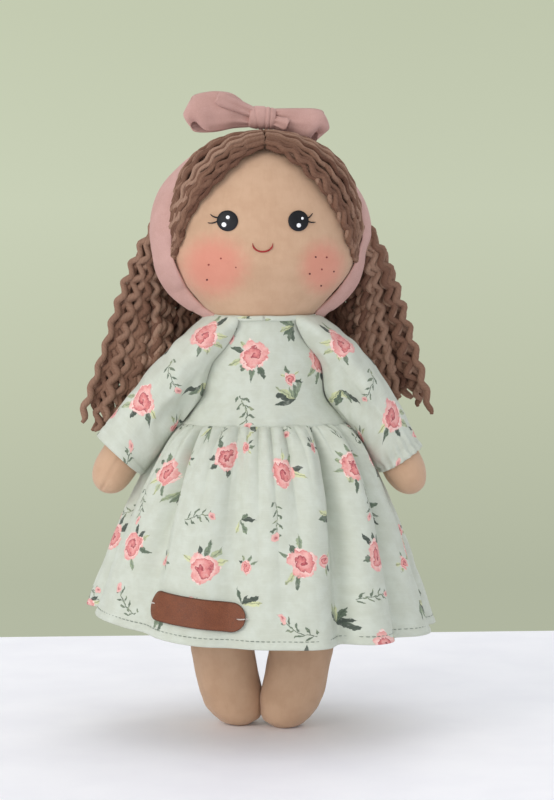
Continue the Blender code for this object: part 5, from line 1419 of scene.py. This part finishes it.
class RAGDOLL_OT_face(bpy.types.Operator):
    """Paints the eyes, lashes and freckles, and stitches the smile."""

    bl_idname = "rag_doll.face"
    bl_label = "Face"

    def dot(self, name, x, z, radius, height, lift, paint):
        """A painted dot: rings out to its radius on a dome, then its rim down to the cloth."""
        turn = round_turns(40)
        share = np.sin(np.linspace(0.03, math.pi / 2, 10))[:, None]
        px = x + radius * share * np.cos(turn)
        pz = z + radius * share * np.sin(turn)
        dome = on_face(px, pz, lift + height * np.sqrt(1 - 0.97 * share**2))
        base = on_face(px[[-1, 0]], pz[[-1, 0]], lift - PAINT_LIFT)
        return body(name, np.concatenate([dome, base]), paint)

    def execute(self, context):
        _, colours, _ = settings()
        paint = material("eye_enamel_paint", gloss_paint, colours.eyes, 0.5, "#191922")
        white = material("white_enamel_paint", gloss_paint, colours.glint, 0.3, "#E9ECF2")
        dots = material("freckle_paint", gloss_paint, colours.freckle, 0.6, "#191922")
        t = np.linspace(0, 1, 24)
        lash_radius = np.broadcast_to(0.00048 * mix(1, 0.45, t**2), (2, 24))
        t = t[:, None]
        for side, label in SIDES:
            x = FACE_TURN + side * EYE_SPACING / 2
            eye = self.dot("painted_eye_" + label, x, EYE_Z, EYE_RADIUS, EYE_HEIGHT, PAINT_LIFT, paint)
            placed(eye, "doll", "eye_paint", "eye_" + label)
            for k, (dx, dz, radius) in enumerate(GLINTS[side]):
                far = math.hypot(dx, dz) / EYE_RADIUS
                lift = PAINT_LIFT + EYE_HEIGHT * math.sqrt(1 - 0.97 * far**2)
                name = "glint_%s_%d" % (label, k + 1)
                glint = self.dot(name, x + dx, EYE_Z + dz, radius, 0.00025, lift, white)
                placed(glint, "doll", "eye_paint")
            root, bend, tip = np.array(LASHES[side]).swapaxes(0, 1)[:, :, None]
            flat = (1 - t) ** 2 * root + 2 * t * (1 - t) * bend + t**2 * tip
            paths = on_face(x + flat[..., 0], EYE_Z + flat[..., 1], 0.00035)
            lash = tubes("lashes_" + label, paths, unit(paths - HEAD_CENTRE), lash_radius, paint, 8)
            placed(lash, "doll", "eye_paint")
        t = np.linspace(-1, 1, 40)
        x = FACE_TURN - 0.0004 + MOUTH_WIDTH / 2 * np.sin(t * math.pi / 2)
        z = MOUTH_Z - MOUTH_DEPTH * np.cos(t * math.pi / 2) ** 0.9
        path = on_face(x, z, PAINT_LIFT)[None]
        red = material("mouth_cotton_floss", cotton_thread, colours.mouth)
        smile = thread("smile", path, unit(path - HEAD_CENTRE), 0.00055, red)
        placed(smile, "doll", "mouth_thread", "mouth_stitch")
        for k, (x, z) in enumerate(FRECKLES):
            freckle = self.dot("freckle_%02d" % (k + 1), x, z, FRECKLE_RADIUS, 0.0002, 0.0001, dots)
            placed(freckle, "doll", "eye_paint")
        return {"FINISHED"}


class RAGDOLL_OT_hair(bpy.types.Operator):
    """Sews the crimped yarn onto the head: drawn back in front, hanging loose at the sides and back."""

    bl_idname = "rag_doll.hair"
    bl_label = "Yarn Hair"

    def hanging(self, name, node, turns, depths, seeds):
        """One piece of the free hair, down to just above the low end of its node."""
        sizes, colours, _ = settings()
        wool = material("crimped_wool_yarn", wool_yarn, colours)
        strands = back_hair(turns, depths, float(node_box(node)[0][2]) + 0.008, seeds[0], sizes)
        placed(tubes(name, *strands, wool, 7, seeds[1]), "doll", "yarn", node)

    def execute(self, context):
        sizes, colours, _ = settings()
        wool = material("crimped_wool_yarn", wool_yarn, colours)
        for side, label in SIDES:
            hair = tubes("yarn_front_" + label, *front_hair(side, sizes), wool, 7, 80 + side)
            placed(hair, "doll", "yarn", "hair_parting_" + label)
            turns = side * np.radians(np.linspace(47, 91, 11))
            depths = (1.0, 0.8, 0.6, 0.38, 0.14)
            self.hanging("yarn_curls_" + label, "hair_curls_" + label, turns, depths, (90 + side, 95 + side))
        turns = np.radians(np.linspace(-43, 43, 21))
        self.hanging("yarn_back", "hair_back", turns, (1.0, 0.6, 0.15), (99, 98))
        return {"FINISHED"}


class RAGDOLL_OT_headband(bpy.types.Operator):
    """Wraps the jersey headband over the hair and under the chin's sides, and ties its bow."""

    bl_idname = "rag_doll.headband"
    bl_label = "Headband and Bow"

    def band(self, jersey):
        """A flat tube of jersey: a superellipse section carried round the head, with drag creases.

        Its rings run round the head. Over the hair it follows the head, and lower down it is drawn
        between a front edge and a rear edge, each a smooth curve through measured points.
        """
        around = np.arange(240) * 360 / 240
        side = np.where(around <= 180, 1, -1)
        angle = np.where(around <= 180, around, 360 - around)
        on_hair = 1 - smooth((angle - 104) / 18)
        turn = round_turns(36)[:, None]
        share = squared(np.cos(turn), 0.8)
        puff = squared(np.sin(turn), 0.75) * 0.0014
        across = share * BAND_WIDTH / 2
        tilt = smooth((angle - 25) / 45) * (1 - smooth((angle - 150) / 12))
        seat = mix(0.0014, 0.0060, on_hair) - 0.0028 * smooth((78 - angle) / 30)
        seat = seat + 0.0034 * tilt * (share + mix(1, 0.4, on_hair))
        grid = on_head(side_direction(angle, side, band_forward(angle, side) + across), seat + 0.0012 + puff)

        def edge(values):
            return np.where(side > 0, *(follow(BAND_LOW_ANGLES, values[s], angle) for s in (1, -1)))

        slant = follow(BAND_LOW_ANGLES, BAND_SLANT, angle)
        edges = []
        for x, z, behind in ((BAND_INNER_X, BAND_INNER_Z, 0), (BAND_OUTER_X, BAND_OUTER_Z, slant)):
            half_x, half_y = head_half(edge(z))
            y = -half_y * np.sqrt(np.clip(1 - (edge(BAND_INNER_X) / np.maximum(half_x, 0.01)) ** 2, 0.02, 1))
            y = y - mix(0.0060, 0.0014, smooth((angle - 100) / 24)) + behind
            edges.append(xyz(side * edge(x), y, edge(z)))
        front_edge, rear_edge = edges
        facing = unit(np.cross(rear_edge - front_edge, np.gradient(front_edge, axis=0)))
        facing = facing * np.sign((facing * (front_edge - HEAD_CENTRE)).sum(-1, keepdims=True))
        low_part = mix(front_edge, rear_edge, (1 + share[..., None]) / 2)
        low_part = low_part + facing * (puff + 0.0006 * np.sin(turn))[..., None]
        weight = smooth((angle - 88) / 12) * (1 - smooth((angle - 144) / 12))
        grid = mix(grid, low_part, weight[None, :, None])
        pleats = np.sin(across / 0.0026 + 1.2 * np.sin(np.radians(around) * 3))
        near_tie = bell(angle / 16) + 0.4 * smooth((angle - 125) / 25)
        crease = 0.00045 * pleats * near_tie + 0.0003 * ripple(grid, 0.03, 61)
        grid = grid + unit(grid - HEAD_CENTRE) * (crease * (np.sin(turn) > 0))[..., None]
        return body("headband_tube", grid.transpose(1, 0, 2), jersey, wrap_rows=True)

    def knot(self, centre, half, jersey):
        """The wrap round the bow's middle: a pinched block with three pleats pressed into its front."""
        t = np.linspace(-1, 1, 34)[:, None]
        turn = round_turns(72)
        end = mix(0.80, 1, np.cos(t * math.pi / 2) ** 0.5)
        grooves = bell((t - 0.18) / 0.05) + 0.9 * bell((t - 0.52) / 0.05)
        grooves = grooves + 0.6 * bell((t + 0.42 + 0.25 * np.sin(turn)) / 0.06)
        pinch = end * (1 - 0.10 * grooves)
        x = half[0] * squared(t, 0.85) + 0 * turn
        y = -half[1] * pinch * squared(np.cos(turn), 0.8)
        z = half[2] * pinch * squared(np.sin(turn), 0.85)
        tilt = math.radians(-5)
        turned = xyz(x * math.cos(tilt) - z * math.sin(tilt), y, x * math.sin(tilt) + z * math.cos(tilt))
        return body("bow_knot_wrap", centre + turned, jersey)

    def loop(self, name, centre, side, jersey):
        """A ribbon that leaves the knot, folds over at its end and comes back behind itself.

        Seen from above it is an ellipse. Its edges are given at quarters of the way out. The corners are
        rounded by a quarter circle, both edges roll inwards, and the front's lower edge lifts near the
        fold, so that the loop stands open.
        """
        length, tops, bottoms, lean = LOOPS[side]
        t = np.linspace(0, 1, 120)
        out = (1 - np.cos(FULL * t)) / 2
        x = side * (0.0066 + length * out)
        y = -0.0080 * np.sin(FULL * t) * mix(0.45, 1, out) - 0.0016 * np.cos(math.pi * t)
        quarters = (0, 0.25, 0.5, 0.75, 1)
        corner = 0.0048 * (1 - rounded(np.clip((out - 0.86) / 0.14, 0, 1), 2))
        top = follow(quarters, tops, out) - corner
        bottom = follow(quarters, bottoms, out) + corner + 0.0062 * bell((t - 0.385) / 0.055)
        middle = centre + xyz(x, y, (top + bottom) / 2)
        s = np.linspace(-1, 1, 31)[None, :]
        near = np.exp(-out / 0.22)[:, None]
        pleats = (np.sin(s * 7.5 + 1.0 + side) + 0.6 * np.sin(s * 13 + 2 * side)) * near * 0.0012
        sag = ripple(xyz(x[:, None], s * 0.01, t[:, None] * 0.02), 0.015, 66 + side) * 0.0009
        roll = 0.0042 * np.abs(s) ** 2.6 * smooth(np.sin(math.pi * t) * 1.4)[:, None]
        up = unit(xyz(lean * out, 0, 1))
        return strip(name, middle, up, (top - bottom) / 2, 0.0015, jersey, side * (pleats + sag - roll))

    def tail(self, name, centre, side, jersey):
        """A short end of ribbon out of the knot, widening, folded near the knot and cupped at its tip."""
        length, forward, rise, half_width = TAILS[side]
        t = np.linspace(0, 1, 40)
        x = side * (0.0055 + length * t)
        middle = centre + xyz(x, -0.0050 - forward * smooth(t * 0.9), rise * mix(0.25, 1, t))
        width = half_width * mix(0.62, 1, t) * mix(0.75, 1, smooth((1 - t) * 6))
        s = np.linspace(-1, 1, 15)[None, :]
        folds = 0.0007 * np.sin(s * 5 + side) * (1 - t)[:, None] - 0.0012 * s**2 * t[:, None]
        up = unit(xyz(-rise / length * side * 0.9 + 0 * t, 0, 1))
        return strip(name, middle, up, width, 0.0013, jersey, side * folds)

    def execute(self, context):
        _, colours, _ = settings()
        jersey = material("ribbon_cotton_jersey", ribbon_jersey, colours)
        band = placed(self.band(jersey), "doll", "ribbon", "headband")
        centre = (KNOT_LOW + KNOT_HIGH) / 2
        placed(self.knot(centre, (KNOT_HIGH - KNOT_LOW) / 2, jersey), "doll", "ribbon", "bow_knot")
        for side, label in SIDES[::-1]:
            loop = self.loop("bow_loop_%s_ribbon" % label, centre, side, jersey)
            placed(loop, "doll", "ribbon", "bow_loop_" + label)
        for side, label in SIDES[::-1]:
            tail = self.tail("bow_tail_%s_ribbon" % label, centre, side, jersey)
            placed(tail, "doll", "ribbon", "bow_tail_" + label)
        return {"FINISHED"}


class RAGDOLL_OT_trim(bpy.types.Operator):
    """Adds the hem stitches, the leather label with its stitches, and the back buttons."""

    bl_idname = "rag_doll.trim"
    bl_label = "Stitches, Label and Buttons"

    def stitches(self):
        """Short running stitches above the hem, each a low arch of thread."""
        sizes, colours, _ = settings()
        count = 210
        t = np.linspace(0, 1, 6)[None, :]
        turn = (np.arange(count)[:, None] + t * 0.62) * FULL / count
        down = 1 - sizes.hem_depth / (WAIST_Z - HEM_Z) + 0 * turn
        lift = DRESS_CLOTH + 0.00022 * np.sin(math.pi * t) - 0.00012
        paths = skirt_surface(turn, down, lift, sizes.gathers)
        out = unit(skirt_surface(turn, down, lift + 0.01, sizes.gathers) - paths)
        grey = material("hem_sewing_thread", cotton_thread, colours.sewing_thread)
        made = tubes("hem_stitches", paths, out, 0.00022 + 0 * turn, grey, 6)
        placed(made, ("doll", "hip_fold"), "white_thread", **SIT)

    def label(self):
        """A blank strip with round ends: rings from end to end, each a flat loop with soft edges."""
        sizes, colours, _ = settings()
        long, high, thick = LABEL_HALF_LENGTH, LABEL_HALF_HEIGHT, LABEL_THICKNESS
        along = long * np.sin(np.linspace(-math.pi / 2, math.pi / 2, 90))[:, None] * 0.9995
        past = np.clip(np.abs(along) - (long - high), 0, None)
        reach = np.sqrt(np.clip(high**2 - past**2, (0.02 * high) ** 2, None))
        turn = round_turns(56)[None, :]
        across = squared(np.cos(turn), 0.55)
        up = squared(np.sin(turn), 0.4)
        lift = LABEL_LIFT + thick / 2 * (1 + up * np.clip(reach / 0.002, 0.1, 1))
        grid = label_point(along + 0 * turn, reach * across, lift, sizes.gathers)
        made = body("label_blank", grid, material("label_tanned_leather", label_leather, colours))
        inside = np.minimum(reach * (1 - np.abs(across)), long - np.abs(along))
        point_values(made, "rim", np.clip(1 - inside / 0.0009, 0, 1) * 0.85 * (up > -0.99))
        placed(made, ("doll", "hip_fold"), "leather", "leather_label", **SIT)
        white = material("label_white_thread", cotton_thread, colours.white_thread)
        t = np.linspace(-1, 1, 22)
        for side, label in SIDES:
            along = side * (long - 0.0016) + 0.0036 * t
            lift = LABEL_LIFT + thick * smooth((long - side * along) / 0.0008) + 0.0003
            path = label_point(along, 0.0004 * np.sin(t * 2), lift, sizes.gathers)[None]
            out = unit(label_point(along, 0 * t, lift + 0.01, sizes.gathers)[None] - path)
            made = thread("label_stitch_%s_thread" % label, path, out, sizes.thread_radius, white)
            placed(made, ("doll", "hip_fold"), "white_thread", "label_stitch_" + label, **SIT)

    def button(self, label):
        """A turned button: rim, dish and hub on one profile, and two bars of thread through it."""
        _, colours, _ = settings()
        low, high = node_box("back_button_" + label)
        x, z = (low[0] + high[0]) / 2, (low[2] + high[2]) / 2
        base, thick = low[1], high[1] - low[1]
        radii = np.array(BUTTON_RADII)[:, None] * (high[0] - low[0]) / 2
        rise = np.array(BUTTON_RISES)[:, None] * thick
        turn = round_turns(40)
        grid = xyz(x + radii * np.cos(turn), base + rise, z + radii * np.sin(turn))
        made = body("button_" + label, grid, material("cast_resin_button", button_resin))
        placed(made, "doll", "button", "back_button_" + label)
        t = np.linspace(-1, 1, 14)
        bars = [xyz(x + 0.0011 * s, base + thick * (0.9 - 0.35 * t**4), z + 0.0012 * t) for s in (-1, 1)]
        white = material("label_white_thread", cotton_thread, colours.white_thread)
        out = np.broadcast_to(-FRONT, (2, 14, 3))
        placed(thread("button_thread_" + label, bars, out, 0.00038, white), "doll", "white_thread")

    def execute(self, context):
        self.stitches()
        self.label()
        for label in ("lower", "middle", "upper"):
            self.button(label)
        return {"FINISHED"}


class RAGDOLL_OT_dress(bpy.types.Operator):
    """Sews the bodice, sleeves and gathered skirt of printed cotton. The hem's stitches come first."""

    bl_idname = "rag_doll.dress"
    bl_label = "Dress"

    def execute(self, context):
        sizes, colours, _ = settings()
        lawn = material("printed_cotton_lawn", dress_cotton, sizes, colours)
        bodice = cloth("bodice", bodice_grid(), DRESS_CLOTH, lawn)
        placed(bodice, "doll", "dress_print", "dress_bodice")
        fold = body("neckline_fold", neck_grid(), lawn, wrap_rows=True)
        placed(fold, "doll", "dress_print", "neck_binding")
        grid, uv = skirt_grid(sizes)
        skirt = cloth("skirt", grid, DRESS_CLOTH, lawn, uv)
        placed(skirt, ("doll", "hip_fold"), "dress_print", "dress_skirt", **SIT)
        for side, label in SIDES:
            grid = sleeve_grid(side)
            axis = unit(grid[-1].mean(0) - grid[0].mean(0))
            sleeve = cloth("sleeve_%s_cloth" % label, grid, DRESS_CLOTH, lawn, axis_uv(grid, axis))
            bend = {"start": (side * 0.030, 0, 0.232), "end": (side * 0.062, 0, 0.210)}
            placed(sleeve, ("doll", "arm_" + label), "dress_print", "sleeve_" + label, **bend)
        return {"FINISHED"}


class RAGDOLL_OT_stage(bpy.types.Operator):
    """Sets the table, the wall's colour, the lamps and the camera."""

    bl_idname = "rag_doll.stage"
    bl_label = "Table, Lamps and Camera"

    def table(self, stage):
        """A white painted board: a plain box whose top is the floor."""
        made, node, _, place = new_material("painted_table_top", 0.55)
        grain = node("MapRange/SMOOTHSTEP", node("TexNoise/4D", place, 0.0, 1 / 0.05, 3), 0.3, 0.7)
        coat(made, node("Mix/RGBA", grain, tuple(stage.table), srgb("#F6F5FA")))
        x, front, back, thick = 1.6, -1.3, 0.353, 0.03
        flat = ((-x, front), (x, front), (x, back), (-x, back))
        corners = [(a, b, c) for c in (-thick, 0) for a, b in flat]
        sides = [(k, (k + 1) % 4, 4 + (k + 1) % 4, 4 + k) for k in range(4)]
        mesh = bpy.data.meshes.new("table_top")
        mesh.from_pydata(corners, [], [(3, 2, 1, 0), (4, 5, 6, 7)] + sides)
        mesh.materials.append(made)
        linked("table_top", mesh)

    def world(self, stage):
        """The wall as the camera sees it, graded by height and side with painted shade, and the room's light,
        stronger overhead.

        Light from overhead keeps the table white while the doll's sides stay soft.
        """
        world = bpy.data.worlds.new("wall_colour")
        world.use_nodes = True
        bpy.context.scene.world = world
        world.node_tree.nodes.clear()
        node = functools.partial(add, world.node_tree)
        ray = node("LightPath").outputs
        seen = node("Math/MAXIMUM", ray["Is Camera Ray"], ray["Is Glossy Ray"])
        seen = node("Math/MAXIMUM", seen, ray["Is Transmission Ray"])
        way = node("SeparateXYZ", node("TexCoord").outputs["Generated"]).outputs
        # Painted shade on the wall: darkest low down by the table, palest about two thirds of the way up
        low, middle = ((0.0, stage.wall_low_painted_shade), (0.1, stage.wall_low_painted_shade)), ((0.38, srgb("#C3C9B0")),)
        high = ((0.68, stage.wall), (0.97, srgb("#C7CEB4")))
        wall = node("ValToRGB", node("MapRange", way["Z"], -0.17, 0.10), stops=low + middle + high)
        # Painted shade: the wall grows a little darker towards the right
        aside = node("MapRange", way["X"], -0.15, 0.12, 1.0, 0.93)
        shown = node("Background", node("VectorMath/SCALE", wall, aside), 1.0)
        overhead = node("MapRange", way["Z"], 0.0, 0.9, 0.80, 1.25)
        light = node("Background", srgb("#F1F3F8"), node("Math/MULTIPLY", overhead, stage.air))
        node("OutputWorld", node("MixShader", seen, light, shown))

    def execute(self, context):
        _, _, stage = settings()
        self.table(stage)
        self.world(stage)
        lamps = (
            ("key", stage.key, 0.8, (-1.45, -1.25, 1.0), "#FFFAF4"),
            ("fill", stage.fill, 1.0, (-0.35, -1.6, 0.25), "#F8F6F6"),
            ("back", stage.fill * 0.6, 0.8, (0.5, 1.1, 1.3), "#FFFFFF"),
        )
        for name, power, size, where, tint in lamps:
            lamp = bpy.data.lights.new(name, "AREA")
            lamp.energy = power
            lamp.size = size
            lamp.color = srgb(tint)[:3]
            holder = linked(name, lamp)
            holder.location = where
            aim = np.array([0.0, 0.0, 0.2]) - where
            holder.rotation_euler = Vector(aim).to_track_quat("-Z", "Y").to_euler()
        azimuth, distance, height, pitch, aside = math.radians(-4), 1.5, 0.31, math.radians(3.886), 0.0094
        camera = linked("camera", bpy.data.cameras.new("camera"))
        camera.data.lens = 107.3
        camera.data.sensor_width = 36
        back = np.array([math.sin(azimuth), -math.cos(azimuth), 0])
        right = np.array([math.cos(azimuth), math.sin(azimuth), 0])
        camera.location = back * distance + right * aside + [0, 0, height]
        camera.rotation_euler = (math.pi / 2 - pitch, 0, azimuth)
        context.scene.camera = camera
        context.scene.view_settings.view_transform = "Standard"
        return {"FINISHED"}


class RAGDOLL_PT_panel(bpy.types.Panel):
    """Lists the doll's pieces in the sidebar."""

    bl_idname = "RAGDOLL_PT_panel"
    bl_label = "Rag Doll"
    bl_space_type = "VIEW_3D"
    bl_region_type = "UI"
    bl_category = "Rag Doll"

    def draw(self, context):
        for operator in OPERATORS:
            self.layout.operator(operator.bl_idname)
        for group in settings():
            box = self.layout.box()
            for name in group.bl_rna.properties.keys():
                if name not in ("rna_type", "name"):
                    box.prop(group, name)


# In the order they run
OPERATORS = (
    RAGDOLL_OT_stage, RAGDOLL_OT_body, RAGDOLL_OT_face, RAGDOLL_OT_hair,
    RAGDOLL_OT_headband, RAGDOLL_OT_trim, RAGDOLL_OT_dress,
)
CLASSES = (*GROUPS.values(), RAGDOLL_PT_panel, *OPERATORS)


def register():
    for cls in CLASSES:
        bpy.utils.register_class(cls)
    for name, group in GROUPS.items():
        setattr(bpy.types.Scene, name, bpy.props.PointerProperty(type=group))


def unregister():
    for name in GROUPS:
        delattr(bpy.types.Scene, name)
    for cls in reversed(CLASSES):
        bpy.utils.unregister_class(cls)


def main():
    register()
    for operator in OPERATORS:
        getattr(bpy.ops.rag_doll, operator.bl_idname.partition(".")[2])()


if __name__ == "__main__":
    main()
